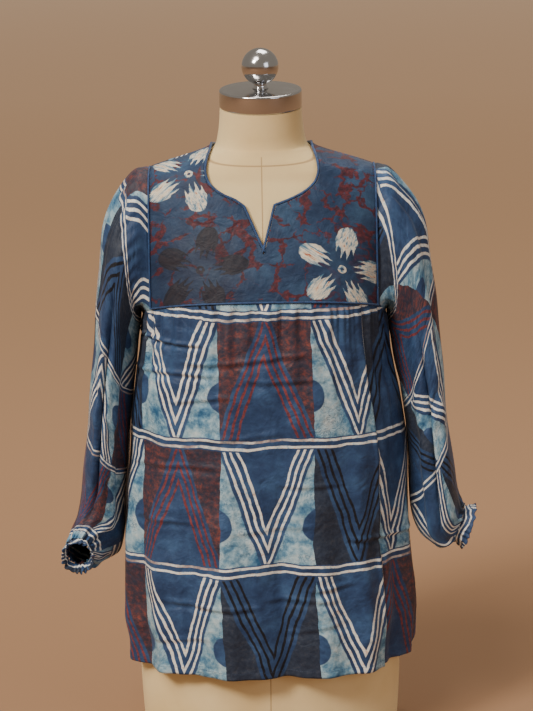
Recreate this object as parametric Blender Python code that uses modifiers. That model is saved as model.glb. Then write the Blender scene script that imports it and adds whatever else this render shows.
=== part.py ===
"""Tunic top on a limbless dress form.

The form is a lofted torso with a neck, a turned metal neck cap and a ball. The tunic hangs on it: a flat
front yoke, a front panel gathered under the yoke, one back panel, two long sleeves gathered into elastic
cuffs, and round piping along the neckline and the yoke.

Metres, +Z up, the front at -Y and the wearer's left arm at +X. The origin is the middle of the form's
flat bottom. Every cloth surface is worked out as its middle surface and gets its thickness from Solidify.
"""
import math

import bmesh
import bpy
import numpy as np
from mathutils import Vector

# Walls and clearances
CLOTH_WALL = 0.0016
CUFF_WALL = 0.0018
SEAM_GAP = 0.0003
YOKE_SEAM_GAP = 0.0007
ARMHOLE_SEAM_GAP = 0.0014
SIDE_SEAM_GAP = 0.0009
SHOULDER_LIFT = 0.0020
WEARING_EASE = 0.0048

# Dress form: horizontal sections from the flat bottom to the top of the neck
SECTION_COLUMNS = ("height", "half_width", "front", "back", "power", "shift")
FORM_SECTIONS = (
    (0.000, 0.1785, 0.106, 0.108, 2.20, 0.0),
    (0.100, 0.1830, 0.112, 0.118, 2.20, 0.0),
    (0.180, 0.1820, 0.108, 0.121, 2.20, 0.0),
    (0.250, 0.1700, 0.100, 0.112, 2.15, 0.0),
    (0.330, 0.1480, 0.092, 0.094, 2.10, 0.0),
    (0.410, 0.1300, 0.086, 0.080, 2.10, 0.0),
    (0.480, 0.1340, 0.092, 0.083, 2.15, 0.0),
    (0.550, 0.1440, 0.108, 0.090, 2.20, 0.0),
    (0.600, 0.1500, 0.119, 0.096, 2.25, 0.0),
    (0.640, 0.1560, 0.119, 0.100, 2.30, 0.0),
    (0.690, 0.1680, 0.107, 0.103, 2.30, 0.0),
    (0.735, 0.1760, 0.092, 0.099, 2.30, 0.0),
    (0.762, 0.1765, 0.083, 0.093, 2.30, 0.0),
    (0.780, 0.1720, 0.076, 0.088, 2.25, 0.0),
    (0.791, 0.1640, 0.072, 0.085, 2.20, 0.0),
    (0.800, 0.1500, 0.070, 0.082, 2.20, 0.0),
    (0.8075, 0.1290, 0.068, 0.079, 2.15, 0.0),
    (0.8145, 0.1060, 0.066, 0.075, 2.10, 0.0),
    (0.8215, 0.0840, 0.063, 0.070, 2.05, 0.0),
    (0.8275, 0.0690, 0.061, 0.065, 2.00, 0.0),
    (0.834, 0.0620, 0.059, 0.060, 2.00, 0.0),
    (0.848, 0.0585, 0.057, 0.055, 2.00, 0.0),
    (0.868, 0.0560, 0.056, 0.053, 2.00, 0.0),
    (0.884, 0.0550, 0.055, 0.052, 2.00, 0.0),
)
FORM_SEGMENTS = 36
FORM_RING_STEP = 0.045
SHOULDER_START = 0.750
SHOULDER_RING_STEP = 0.0070
NECK_RING_STEP = 0.0160
NECK_LEAN_START = 0.830
NECK_TILT = math.radians(7.0)

# Metal cap and ball on the neck
CAP_RADIUS = 0.0555
CAP_HEIGHT = 0.024
CAP_EDGE = 0.0025
STEM_RADIUS = 0.0085
STEM_HEIGHT = 0.006
BALL_RADIUS = 0.0248

# Tunic below the bust, where it hangs clear of the form
HANG_SECTIONS = (
    (0.090, 0.2000, 0.143, 0.134, 2.15, 0.0050),
    (0.147, 0.2010, 0.142, 0.133, 2.15, 0.0050),
    (0.187, 0.2045, 0.141, 0.132, 2.15, 0.0030),
    (0.245, 0.2015, 0.139, 0.129, 2.15, 0.0000),
    (0.305, 0.1975, 0.137, 0.123, 2.15, -0.0010),
    (0.370, 0.1945, 0.135, 0.118, 2.15, 0.0010),
    (0.420, 0.1915, 0.133, 0.114, 2.15, 0.0030),
    (0.480, 0.1845, 0.132, 0.112, 2.20, 0.0020),
    (0.530, 0.1765, 0.131, 0.110, 2.25, 0.0000),
    (0.570, 0.1695, 0.130, 0.109, 2.30, 0.0000),
    (0.620, 0.1660, 0.128, 0.108, 2.30, 0.0000),
    (0.700, 0.1740, 0.111, 0.108, 2.30, 0.0000),
)
HANG_TOP = 0.625
FORM_FIT_FROM = 0.700

# Yoke and armhole
YOKE_HALF_WIDTH = 0.152
YOKE_CORNER_HEIGHT = 0.618
YOKE_CORNER_DEPTH = 0.060
YOKE_EDGE_RISE = 0.277

# Neckline from the shoulder to the notch, on the wearer's left (+X); the other side mirrors it
NECK_HALF = (
    (0.0755, 0.8170),
    (0.0770, 0.8060),
    (0.0740, 0.7930),
    (0.0650, 0.7820),
    (0.0520, 0.7735),
    (0.0360, 0.7665),
)
NECK_POINT_HEIGHT = 0.8330
NOTCH_LEFT = (-0.0255, 0.7590)
NOTCH_RIGHT = (0.0175, 0.7600)
NOTCH_TIP = (0.0010, 0.6985)
BACK_NECK_HEIGHT = 0.8235

# Hem: straight, with rounded corners up to a short slit at each side
HEM_HEIGHT = 0.1210
BACK_HEM_HEIGHT = 0.1190
SLIT_TOP = 0.1480
HEM_CORNER_WIDTH = 0.26

# Gathers under the yoke; each drift and strength row is (size, turns across, phase)
GATHER_COUNT = 21
GATHER_DEPTH = 0.0026
GATHER_FADE = 0.085
GATHER_DRIFT = ((0.35, 9.0, 0.6), (0.25, 17.0, 2.0))
GATHER_STRENGTH = ((0.30, 8.06, 1.57), (0.15, 23.0, 0.0))
GATHER_MEAN = 0.55

# Large folds: place across (-1 to 1), height where it starts, half width across, relief at the hem
FOLD_COLUMNS = ("across", "start", "spread", "relief")
FRONT_FOLDS = (
    (-0.80, 0.52, 0.070, 0.0060),
    (-0.64, 0.60, 0.050, -0.0050),
    (-0.50, 0.60, 0.060, 0.0070),
    (-0.33, 0.50, 0.060, -0.0050),
    (-0.15, 0.60, 0.080, 0.0080),
    (0.06, 0.58, 0.070, -0.0140),
    (0.22, 0.55, 0.070, 0.0050),
    (0.42, 0.60, 0.070, 0.0090),
    (0.66, 0.46, 0.070, -0.0070),
    (0.83, 0.50, 0.060, 0.0050),
)
BACK_FOLDS = (
    (-0.74, 0.56, 0.070, 0.0060),
    (-0.52, 0.50, 0.070, -0.0060),
    (-0.28, 0.60, 0.080, 0.0080),
    (-0.02, 0.52, 0.070, -0.0070),
    (0.24, 0.62, 0.080, 0.0080),
    (0.50, 0.52, 0.070, -0.0060),
    (0.76, 0.56, 0.070, 0.0060),
)
TUCK_ACROSS = 0.545
TUCK_START = 0.240
TUCK_RELIEF = 0.0080
TUCK_SHARPNESS = 0.022

# Sleeves: a ring in each row. The outer and inner points are in the XZ plane, mirrored for the other arm;
# middle and half depth are along Y, and turn swings the ring's front up, as the sleeve turns forward.
SLEEVE_COLUMNS = ("outer_x", "outer_z", "inner_x", "inner_z", "middle_y", "half_depth", "turn")
LEFT_ARM_RINGS = (
    (0.1680, 0.7950, 0.1640, 0.6150, -0.002, 0.068, 0.0),
    (0.1870, 0.7780, 0.1735, 0.6080, -0.002, 0.070, 0.0),
    (0.2060, 0.7560, 0.1785, 0.5900, -0.002, 0.070, 0.0),
    (0.2200, 0.7180, 0.1830, 0.5640, -0.003, 0.068, 0.0),
    (0.2290, 0.6620, 0.1880, 0.5300, -0.004, 0.067, 0.0),
    (0.2370, 0.6050, 0.1930, 0.4950, -0.006, 0.067, 0.0),
    (0.2430, 0.5450, 0.1990, 0.4550, -0.008, 0.068, 0.0),
    (0.2470, 0.4850, 0.2040, 0.4150, -0.010, 0.070, 0.0),
    (0.2540, 0.4250, 0.2080, 0.3750, -0.012, 0.070, 0.0),
    (0.2620, 0.3700, 0.2120, 0.3300, -0.014, 0.066, 0.0),
    (0.2665, 0.3420, 0.2200, 0.2880, -0.018, 0.056, 0.0),
    (0.2690, 0.3330, 0.2380, 0.2700, -0.024, 0.040, 0.0),
    (0.2705, 0.3300, 0.2535, 0.2790, -0.030, 0.024, 0.0),
)
RIGHT_ARM_RINGS = (
    (0.1680, 0.7970, 0.1640, 0.6150, -0.002, 0.068, 0.0),
    (0.1850, 0.7830, 0.1735, 0.6080, -0.002, 0.070, 0.0),
    (0.2020, 0.7600, 0.1785, 0.5900, -0.002, 0.070, 0.0),
    (0.2160, 0.7200, 0.1830, 0.5640, -0.003, 0.068, 0.0),
    (0.2240, 0.6620, 0.1880, 0.5300, -0.004, 0.067, 0.0),
    (0.2310, 0.6000, 0.1930, 0.4950, -0.006, 0.067, 0.0),
    (0.2370, 0.5400, 0.1990, 0.4550, -0.008, 0.068, 0.0),
    (0.2440, 0.4750, 0.2030, 0.4150, -0.010, 0.070, 0.0),
    (0.2520, 0.4080, 0.2050, 0.3700, -0.008, 0.070, 8.0),
    (0.2600, 0.3480, 0.2060, 0.3200, -0.002, 0.066, 20.0),
    (0.2700, 0.3000, 0.2110, 0.2830, -0.016, 0.055, 42.0),
    (0.2770, 0.2860, 0.2280, 0.2790, -0.044, 0.038, 62.0),
    (0.2790, 0.2850, 0.2420, 0.2830, -0.066, 0.020, 76.0),
)
SLEEVE_SEGMENTS = 44
SLEEVE_POWER = 2.1
ARMHOLE_BLEND = (0.45, 0.80)

# Sleeve gathers and the long groove, each over a stretch of the way from the armhole (0) to the wrist (1)
HEAD_GATHERS = 15
HEAD_GATHER_DEPTH = 0.0022
HEAD_GATHER_SPAN = (-0.04, 0.10, 0.15, 0.50)
WRIST_GATHERS = 12
WRIST_GATHER_DEPTH = 0.0014
WRIST_GATHER_SPAN = (0.78, 0.97)
SLEEVE_GROOVE = 0.0070
GROOVE_ANGLE = 1.75
GROOVE_SPREAD = 0.30
GROOVE_SPAN = (0.20, 0.50, 0.72, 0.92)
CUFF_WIDTH = 0.016
CUFF_SEAM_GAP = 0.0014
CUFF_PINCH = 0.05
CUFF_FLARE = 0.16
CUFF_RINGS = 3

# Piping
NECK_PIPING_RADIUS = 0.0014
YOKE_PIPING_RADIUS = 0.0011
YOKE_PIPING_INSET = 0.0014
PIPING_SIDES = 6

# Grid sizes of the panels; the yoke's columns fan out from its neckline to its outer edge
YOKE_NECK_COLUMNS = 11
YOKE_NOTCH_COLUMNS = 4
YOKE_ARMHOLE_COLUMNS = 8
YOKE_LOW_COLUMNS = 7
YOKE_ROWS = 8
ARMHOLE_CROWDING = 1.8
FRONT_COLUMNS = 72
FRONT_ROWS = 12
FRONT_ROW_CROWDING = 1.25
BACK_COLUMNS = 28
BACK_SIDE_COLUMNS = 4
BACK_UPPER_ROWS = 8
BACK_LOWER_ROWS = 9

# Colours are linear, as Principled BSDF takes them
MATERIALS = {
    "navy_print": ((0.028, 0.062, 0.130, 1.0), 0.72, 0.0),
    "rust_print": ((0.120, 0.045, 0.040, 1.0), 0.72, 0.0),
    "piping_blue": ((0.017, 0.075, 0.190, 1.0), 0.60, 0.0),
    "form_linen": ((0.650, 0.520, 0.340, 1.0), 0.85, 0.0),
    "bright_chrome": ((0.780, 0.780, 0.790, 1.0), 0.12, 1.0),
}


def smooth_interp(at, knots, values):
    """Monotone cubic through the knots, so that no bulge appears between two rows of a table."""
    knots = np.asarray(knots, float)
    values = np.asarray(values, float)
    steps = np.diff(knots)
    slopes = np.diff(values) / steps
    tangents = np.zeros_like(values)
    rising = slopes[:-1] * slopes[1:] > 0
    weights_a = 2 * steps[1:] + steps[:-1]
    weights_b = steps[1:] + 2 * steps[:-1]
    safe_a = np.where(rising, slopes[:-1], 1.0)
    safe_b = np.where(rising, slopes[1:], 1.0)
    harmonic = (weights_a + weights_b) / (weights_a / safe_a + weights_b / safe_b)
    tangents[1:-1] = np.where(rising, harmonic, 0.0)
    tangents[0] = slopes[0]
    tangents[-1] = slopes[-1]
    at = np.clip(np.asarray(at, float), knots[0], knots[-1])
    index = np.clip(np.searchsorted(knots, at, side="right") - 1, 0, len(steps) - 1)
    span = steps[index]
    t = (at - knots[index]) / span
    return (
        values[index] * (1 + 2 * t) * (1 - t) ** 2
        + tangents[index] * span * t * (1 - t) ** 2
        + values[index + 1] * t * t * (3 - 2 * t)
        + tangents[index + 1] * span * t * t * (t - 1)
    )


def table_row(table, columns, at):
    """Read every column of a table at one value of its first column."""
    rows = np.asarray(table, float)
    return {name: smooth_interp(at, rows[:, 0], rows[:, i]) for i, name in enumerate(columns)}


def ease_in(value, low, high):
    """Rise smoothly from 0 at low to 1 at high."""
    t = np.clip((np.asarray(value, float) - low) / (high - low), 0.0, 1.0)
    return t * t * (3 - 2 * t)


def rise_and_fall(value, start, full, until, end):
    """Rise smoothly from 0 at start to 1 at full, stay there and fall back to 0 at end."""
    return float(ease_in(value, start, full)) * (1 - float(ease_in(value, until, end)))


def form_section(height):
    """Section of the dress form at a height."""
    return table_row(FORM_SECTIONS, SECTION_COLUMNS, height)


def tunic_section(height):
    """Section of the tunic's middle surface: hanging below the bust, lying on the form above it."""
    height = np.asarray(height, float)
    hang = table_row(HANG_SECTIONS, SECTION_COLUMNS, height)
    worn = form_section(height - SHOULDER_LIFT * ease_in(height, SHOULDER_START, SHOULDER_START + 0.03))
    fit = ease_in(height, HANG_TOP, FORM_FIT_FROM)
    section = {}
    for name in SECTION_COLUMNS:
        extra = WEARING_EASE if name in ("half_width", "front", "back") else 0.0
        section[name] = hang[name] * (1 - fit) + (worn[name] + extra) * fit
    return section


def surface_depth(across, height, side):
    """Distance of the tunic from the XZ plane, at the front (side -1) or the back (side 1)."""
    section = tunic_section(height)
    reach = section["front"] if side < 0 else section["back"]
    ratio = np.clip(np.abs(across - section["shift"]) / section["half_width"], 0.0, 1.0)
    return reach * (1 - ratio ** section["power"]) ** (1 / section["power"])


def ridge_height(across):
    """Height of the shoulder ridge, where the tunic's front and back meet."""
    low, high = 0.775, 0.860
    for _ in range(40):
        middle = (low + high) / 2
        if float(tunic_section(middle)["half_width"]) > abs(across):
            low = middle
        else:
            high = middle
    return low


def ring_across(section, angle):
    """Place across of a ring's point; angle 0 is the +X side seam and pi the -X one."""
    cosine = np.cos(angle)
    return section["shift"] + section["half_width"] * np.sign(cosine) * np.abs(cosine) ** (
        2 / section["power"]
    )


def ring_depth(section, angle, reach):
    """Depth of a ring's point at an angle."""
    return reach * np.abs(np.sin(angle)) ** (2 / section["power"])


def seam_height(depth):
    """Height of the slanted line that holds the yoke's lower edge and the underarm, for a depth."""
    return YOKE_CORNER_HEIGHT + YOKE_EDGE_RISE * (depth - YOKE_CORNER_DEPTH)


def yoke_edge_point(across, side=-1):
    """Height and depth of the seam line under a place across, found by a few rounds of substitution."""
    height = YOKE_CORNER_HEIGHT
    for _ in range(12):
        height = seam_height(surface_depth(across, height, side))
    return float(height), float(surface_depth(across, height, side))


def yoke_neck_edge():
    """Points (across, height) along the yoke's neckline: left shoulder, notch, right shoulder."""
    def half(sign, notch_corner):
        knots = [(neck_point_across(), ridge_height(neck_point_across()))]
        knots += list(NECK_HALF)
        knots.append((abs(notch_corner[0]), notch_corner[1]))
        curve = [(sign * x, z) for x, z in even_curve(knots, YOKE_NECK_COLUMNS)]
        steps = np.arange(1, YOKE_NOTCH_COLUMNS + 1) / YOKE_NOTCH_COLUMNS
        corner = np.array(notch_corner)
        return curve + [tuple(corner + (np.array(NOTCH_TIP) - corner) * t) for t in steps]

    return half(-1, NOTCH_LEFT) + half(1, NOTCH_RIGHT)[-2::-1]


def yoke_outer_edge():
    """Points (across, height) along the yoke's outer edge: left armhole, lower edge, right armhole."""
    top = ridge_height(YOKE_HALF_WIDTH)
    low = yoke_edge_point(YOKE_HALF_WIDTH)[0]
    armhole = [
        (YOKE_HALF_WIDTH, top + (low - top) * (k / YOKE_ARMHOLE_COLUMNS) ** ARMHOLE_CROWDING)
        for k in range(YOKE_ARMHOLE_COLUMNS)
    ]
    places = np.linspace(YOKE_HALF_WIDTH, 0.0, YOKE_LOW_COLUMNS + 1)
    lower = [(place, yoke_edge_point(place)[0]) for place in places]
    half = armhole + lower
    return [(-x, z) for x, z in half] + half[-2::-1]


def neck_point_across():
    """Half width of the neckline where it crosses the shoulder ridge."""
    return float(tunic_section(NECK_POINT_HEIGHT)["half_width"])


def even_curve(knots, count):
    """Resample a neckline through (across, height) knots into even steps along the cloth."""
    knots = np.asarray(knots, float)
    chord = np.r_[0.0, np.cumsum(np.hypot(*np.diff(knots, axis=0).T))]
    fine = np.linspace(0.0, chord[-1], 300) ** 1.5 / chord[-1] ** 0.5
    across = smooth_interp(fine, chord, knots[:, 0])
    height = smooth_interp(fine, chord, knots[:, 1])
    curve = np.c_[across, height, surface_depth(across, height, -1)]
    length = np.r_[0.0, np.cumsum(np.linalg.norm(np.diff(curve, axis=0), axis=1))]
    marks = np.linspace(0.0, length[-1], count + 1)
    return list(zip(np.interp(marks, length, across), np.interp(marks, length, height)))


def ridge_table():
    """Shoulder ridge as (places, heights), flat across the neck opening, for quick reading."""
    places = np.linspace(neck_point_across(), float(tunic_section(0.700)["half_width"]) - 0.001, 60)
    return places, np.array([ridge_height(place) for place in places])


def draped_line(top, low, shares, side, ridge):
    """Points from top to low, both (across, height), over the shoulder's round: even in depth."""
    places, heights = ridge
    across = top[0] + (low[0] - top[0]) * shares
    crest = np.interp(np.abs(across), places, heights)
    drop_top = max(0.0, float(np.interp(abs(top[0]), places, heights)) - top[1])
    drop_low = max(0.0, float(np.interp(abs(low[0]), places, heights)) - low[1])
    drop = (math.sqrt(drop_top) + (math.sqrt(drop_low) - math.sqrt(drop_top)) * shares) ** 2
    height = crest - drop
    return np.c_[across, side * surface_depth(across, height, side), height]


def yoke_grid(half_seam):
    """Middle surface of the yoke, rows of points from its neckline out to its outer edge."""
    shares = np.arange(YOKE_ROWS + 1) / YOKE_ROWS
    ridge = ridge_table()
    pairs = zip(yoke_neck_edge(), yoke_outer_edge())
    grid = np.array([draped_line(start, end, shares, -1, ridge) for start, end in pairs])
    grid = grid.transpose(1, 0, 2)
    grid[:, :, 1] -= half_seam
    return grid


def fold_relief(folds, across, height, hem):
    """Outward relief of the large folds, growing from where each one starts down to the hem."""
    relief = 0.0
    for fold in folds:
        row = dict(zip(FOLD_COLUMNS, fold))
        growth = ease_in(row["start"] - height, 0.0, row["start"] - hem)
        relief += row["relief"] * growth * math.exp(-(((across - row["across"]) / row["spread"]) ** 2))
    return relief


def gather_wave(across):
    """Uneven gathers across the panel, strongest at the sides and under the notch."""
    drift = sum(size * math.sin(turns * across + phase) for size, turns, phase in GATHER_DRIFT)
    strength = sum(size * math.sin(turns * across + phase) for size, turns, phase in GATHER_STRENGTH)
    return (GATHER_MEAN + strength) * math.sin(math.pi * GATHER_COUNT * across + drift)


def hem_height(across, level):
    """Hem height at a place across: level, with corners that round up to the side slits."""
    into_corner = max(0.0, (abs(across) - (1 - HEM_CORNER_WIDTH)) / HEM_CORNER_WIDTH)
    rise = 1 - math.sqrt(max(0.0, 1 - into_corner**3))
    return level + (SLIT_TOP - level) * rise


def front_relief(across, height, top, hem):
    """Outward relief of the front panel: gathers at its top, folds and the tuck at its hem."""
    side_fade = float(ease_in(1 - abs(across), 0.0, 0.10))
    seam_fade = float(ease_in(top - height, -0.004, 0.014))
    gathers = GATHER_DEPTH * gather_wave(across) * math.exp(-(top - height) / GATHER_FADE) * seam_fade
    folds = fold_relief(FRONT_FOLDS, across, height, hem)
    tuck_growth = float(ease_in(TUCK_START - height, 0.0, TUCK_START - hem))
    tuck = -TUCK_RELIEF * tuck_growth * (1 + math.tanh((across - TUCK_ACROSS) / TUCK_SHARPNESS)) / 2
    return side_fade * (gathers + folds + tuck)


def ring_point(height, angle, side, relief, half_seam):
    """Point of a panel on the ring at a height, moved outward by the relief."""
    section = tunic_section(height)
    reach = float(section["front"] if side < 0 else section["back"])
    across = float(ring_across(section, angle))
    depth = float(ring_depth(section, angle, reach))
    normal = np.array([math.cos(angle) / float(section["half_width"]), math.sin(angle) / reach])
    normal /= np.linalg.norm(normal)
    return (
        across + relief * normal[0],
        side * (depth + relief * normal[1] + half_seam),
        height,
    )


def seam_on_ring(angle, side):
    """Height of the slanted seam line at a ring angle."""
    height = YOKE_CORNER_HEIGHT
    for _ in range(12):
        section = tunic_section(height)
        reach = float(section["front"] if side < 0 else section["back"])
        height = float(seam_height(ring_depth(section, angle, reach)))
    return height


def front_grid(half_seam):
    """Middle surface of the gathered front panel, from the yoke's seam to the hem."""
    shares = (np.arange(FRONT_ROWS + 1) / FRONT_ROWS) ** FRONT_ROW_CROWDING
    grid = np.zeros((FRONT_ROWS + 1, FRONT_COLUMNS + 1, 3))
    for column in range(FRONT_COLUMNS + 1):
        across = 2 * column / FRONT_COLUMNS - 1
        angle = math.pi / 2 * (1 - across)
        top = seam_on_ring(angle, -1) - YOKE_SEAM_GAP
        hem = hem_height(across, HEM_HEIGHT)
        for row, share in enumerate(shares):
            height = top + (hem - top) * share
            relief = front_relief(across, height, top, hem)
            grid[row, column] = ring_point(height, angle, -1, relief, half_seam)
    return grid


def corner_angle(side):
    """Ring angle of the yoke's corner on the seam line, at the front or the back."""
    low, high = 0.0, math.pi / 2
    for _ in range(30):
        middle = (low + high) / 2
        section = tunic_section(seam_on_ring(middle, side))
        if float(ring_across(section, middle)) > YOKE_HALF_WIDTH:
            low = middle
        else:
            high = middle
    return low


def back_top_boundary():
    """Top of the back panel: shoulder, back neckline, shoulder, as (across, height) pairs."""
    neck_across = neck_point_across()
    neck_columns = 2 * (BACK_COLUMNS // 4)
    shoulder_columns = (BACK_COLUMNS - neck_columns) // 2
    shoulder = np.linspace(YOKE_HALF_WIDTH, neck_across, shoulder_columns + 1)
    points = [(-place, ridge_height(place)) for place in shoulder]
    for column in range(1, neck_columns):
        turn = math.pi * column / neck_columns
        dip = (BACK_NECK_HEIGHT - ridge_height(neck_across)) * math.sin(turn)
        points.append((-neck_across * math.cos(turn), ridge_height(neck_across) + dip))
    points += [(place, ridge_height(place)) for place in shoulder[::-1]]
    return points


def back_grids(half_seam):
    """Middle surface of the back: an upper grid between the armholes and a lower one to the hem.

    The upper grid's last row is the middle of the lower grid's first row, so that they are one piece.
    """
    corner = corner_angle(1)
    side_angles = np.linspace(0.0, corner, BACK_SIDE_COLUMNS + 1)
    middle_angles = np.linspace(corner, math.pi - corner, BACK_COLUMNS + 1)
    angles = np.concatenate([side_angles[:-1], middle_angles, math.pi - side_angles[-2::-1]])[::-1]
    lower = np.zeros((BACK_LOWER_ROWS + 1, len(angles), 3))
    for column, angle in enumerate(angles):
        share = 1 - 2 * angle / math.pi
        seam = seam_on_ring(angle, 1)
        hem = hem_height(share, BACK_HEM_HEIGHT)
        side_fade = float(ease_in(1 - abs(share), 0.0, 0.10))
        for row in range(BACK_LOWER_ROWS + 1):
            place = seam + (hem - seam) * row / BACK_LOWER_ROWS
            relief = side_fade * fold_relief(BACK_FOLDS, share, place, hem)
            lower[row, column] = ring_point(place, angle, 1, relief, half_seam)
    shares = np.arange(BACK_UPPER_ROWS + 1) / BACK_UPPER_ROWS
    ridge = ridge_table()
    lines = []
    for column, top in enumerate(back_top_boundary()):
        joint = lower[0, BACK_SIDE_COLUMNS + column]
        line = draped_line(top, (joint[0], joint[2]), shares, 1, ridge)
        line[:, 1] += half_seam
        lines.append(line)
    return np.array(lines).transpose(1, 0, 2), lower


def surface_normal(point):
    """Outward normal of the worn tunic's surface at a point, from the section's own formula."""
    x, y, z = point
    step = 0.0005
    low, here, high = (tunic_section(z + k * step) for k in (-1, 0, 1))
    reach = "front" if y < 0 else "back"
    power = float(here["power"])
    ratio_x = min(abs(x) / float(here["half_width"]), 1.0)
    ratio_y = min(abs(y) / float(here[reach]), 1.0)
    widening = float(high["half_width"] - low["half_width"]) / (2 * step)
    deepening = float(high[reach] - low[reach]) / (2 * step)
    normal = np.array(
        [
            math.copysign(ratio_x ** (power - 1) / float(here["half_width"]), x),
            math.copysign(ratio_y ** (power - 1) / float(here[reach]), y),
            -(ratio_x**power) * widening / float(here["half_width"])
            - ratio_y**power * deepening / float(here[reach]),
        ]
    )
    return normal / np.linalg.norm(normal)


def armhole_loop(count, side, clear):
    """Points on the armhole, just beyond the panels' edges: ridge, front edge, underarm, back edge."""
    corner_height = yoke_edge_point(YOKE_HALF_WIDTH)[0]
    corner_height_back = yoke_edge_point(YOKE_HALF_WIDTH, 1)[0]
    top = ridge_height(YOKE_HALF_WIDTH)
    path = []
    for t in np.linspace(0.0, 1.0, 24):
        height = top + (corner_height - top) * t * t
        path.append((YOKE_HALF_WIDTH, -float(surface_depth(YOKE_HALF_WIDTH, height, -1)), height))
    for angle in np.linspace(corner_angle(-1), 0.0, 12)[1:]:
        path.append(ring_point(seam_on_ring(angle, -1), angle, -1, 0.0, 0.0))
    for angle in np.linspace(0.0, corner_angle(1), 12)[1:-1]:
        path.append(ring_point(seam_on_ring(angle, 1), angle, 1, 0.0, 0.0))
    for t in np.linspace(1.0, 0.0, 24)[:-1]:
        height = top + (corner_height_back - top) * t * t
        path.append((YOKE_HALF_WIDTH, float(surface_depth(YOKE_HALF_WIDTH, height, 1)), height))
    path = np.array(path)
    along = np.roll(path, -1, axis=0) - np.roll(path, 1, axis=0)
    beyond = np.cross(along, [surface_normal(point) for point in path])
    beyond /= np.linalg.norm(beyond, axis=1)[:, None]
    beyond *= np.sign(beyond[:, 0] + beyond[:, 2])[:, None]
    path = path + beyond * clear
    path = np.concatenate([path, path[:1]])
    length = np.r_[0.0, np.cumsum(np.linalg.norm(np.diff(path, axis=0), axis=1))]
    marks = np.linspace(0.0, length[-1], count + 1)[:-1]
    loop = np.array([np.interp(marks, length, path[:, k]) for k in range(3)]).T
    loop[:, 0] *= side
    return loop


def sleeve_ring(row, count, side):
    """Ring of a sleeve from one table row: around from the outer point through the front."""
    turn = math.radians(row["turn"])
    outer = np.array([side * row["outer_x"], row["middle_y"], row["outer_z"]])
    inner = np.array([side * row["inner_x"], row["middle_y"], row["inner_z"]])
    middle = (outer + inner) / 2
    along = (outer - inner) / 2
    forward = np.array([0.0, -math.cos(turn), math.sin(turn)]) * row["half_depth"]
    points = []
    for k in range(count):
        angle = 2 * math.pi * k / count
        c, s = math.cos(angle), math.sin(angle)
        power = 2 / SLEEVE_POWER
        points.append(
            middle
            + along * math.copysign(abs(c) ** power, c)
            + forward * math.copysign(abs(s) ** power, s)
        )
    return np.array(points)


def ring_normals(ring):
    """Outward directions of a ring's points, away from its middle, in the ring's own plane."""
    tangent = np.roll(ring, -1, axis=0) - np.roll(ring, 1, axis=0)
    middle = ring.mean(axis=0)
    plane = np.cross(ring[0] - middle, ring[len(ring) // 4] - middle)
    normal = np.cross(tangent, plane)
    normal /= np.linalg.norm(normal, axis=1)[:, None]
    outward = np.sign(np.einsum("ij,ij->i", normal, ring - middle))
    return normal * np.where(outward == 0, 1.0, outward)[:, None]


def sleeve_grid(rings, side):
    """Middle surface of a sleeve: the armhole loop, then the rings, with gathers at both ends."""
    loop = armhole_loop(SLEEVE_SEGMENTS, side, ARMHOLE_SEAM_GAP)
    grid = [loop]
    table = [dict(zip(SLEEVE_COLUMNS, row)) for row in rings]
    last = len(table) - 1
    for index, row in enumerate(table):
        ring = sleeve_ring(row, SLEEVE_SEGMENTS, side)
        if index < len(ARMHOLE_BLEND):
            shape_share = ARMHOLE_BLEND[index]
            moved = loop - loop.mean(axis=0) + ring.mean(axis=0)
            ring = moved * (1 - shape_share) + ring * shape_share
        normals = ring_normals(ring)
        progress = index / last
        for k in range(SLEEVE_SEGMENTS):
            angle = 2 * math.pi * k / SLEEVE_SEGMENTS
            upper = max(0.0, math.cos(angle)) ** 0.5
            head = HEAD_GATHER_DEPTH * upper * math.sin(HEAD_GATHERS * angle + 0.7 * math.sin(3 * angle))
            head *= rise_and_fall(progress, *HEAD_GATHER_SPAN)
            wrist = WRIST_GATHER_DEPTH * math.sin(WRIST_GATHERS * angle)
            wrist *= float(ease_in(progress, *WRIST_GATHER_SPAN))
            groove = -SLEEVE_GROOVE * math.exp(-(((angle - GROOVE_ANGLE) / GROOVE_SPREAD) ** 2))
            groove *= rise_and_fall(progress, *GROOVE_SPAN)
            ring[k] += normals[k] * (head + wrist + groove)
        grid.append(ring)
    return np.array(grid)


def cuff_grid(last_ring, previous_ring):
    """Middle surface of a cuff that continues the sleeve's last ring past the seam, flaring a little."""
    middle = last_ring.mean(axis=0)
    spokes_a = last_ring[0] - middle
    spokes_b = last_ring[len(last_ring) // 4] - middle
    heading = np.cross(spokes_a, spokes_b)
    heading /= np.linalg.norm(heading)
    if np.dot(heading, middle - previous_ring.mean(axis=0)) < 0:
        heading = -heading
    grid = []
    for index in range(CUFF_RINGS):
        t = index / (CUFF_RINGS - 1)
        scale = 1 - CUFF_PINCH * math.sin(math.pi * min(t * 1.6, 1.0)) + CUFF_FLARE * t * t
        ring = middle + (last_ring - middle) * scale + heading * (CUFF_SEAM_GAP + CUFF_WIDTH * t)
        normals = ring_normals(ring)
        for k in range(len(ring)):
            angle = 2 * math.pi * k / len(ring)
            ring[k] += normals[k] * WRIST_GATHER_DEPTH * 0.5 * t * math.sin(WRIST_GATHERS * angle)
        grid.append(ring)
    return np.array(grid)


def new_material(name):
    """Principled material with the colour, roughness and metallic value of the table."""
    colour, roughness, metallic = MATERIALS[name]
    material = bpy.data.materials.new(name)
    material.use_nodes = True
    shader = material.node_tree.nodes["Principled BSDF"]
    shader.inputs["Base Color"].default_value = colour
    shader.inputs["Roughness"].default_value = roughness
    shader.inputs["Metallic"].default_value = metallic
    material.diffuse_color = colour
    return material


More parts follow.
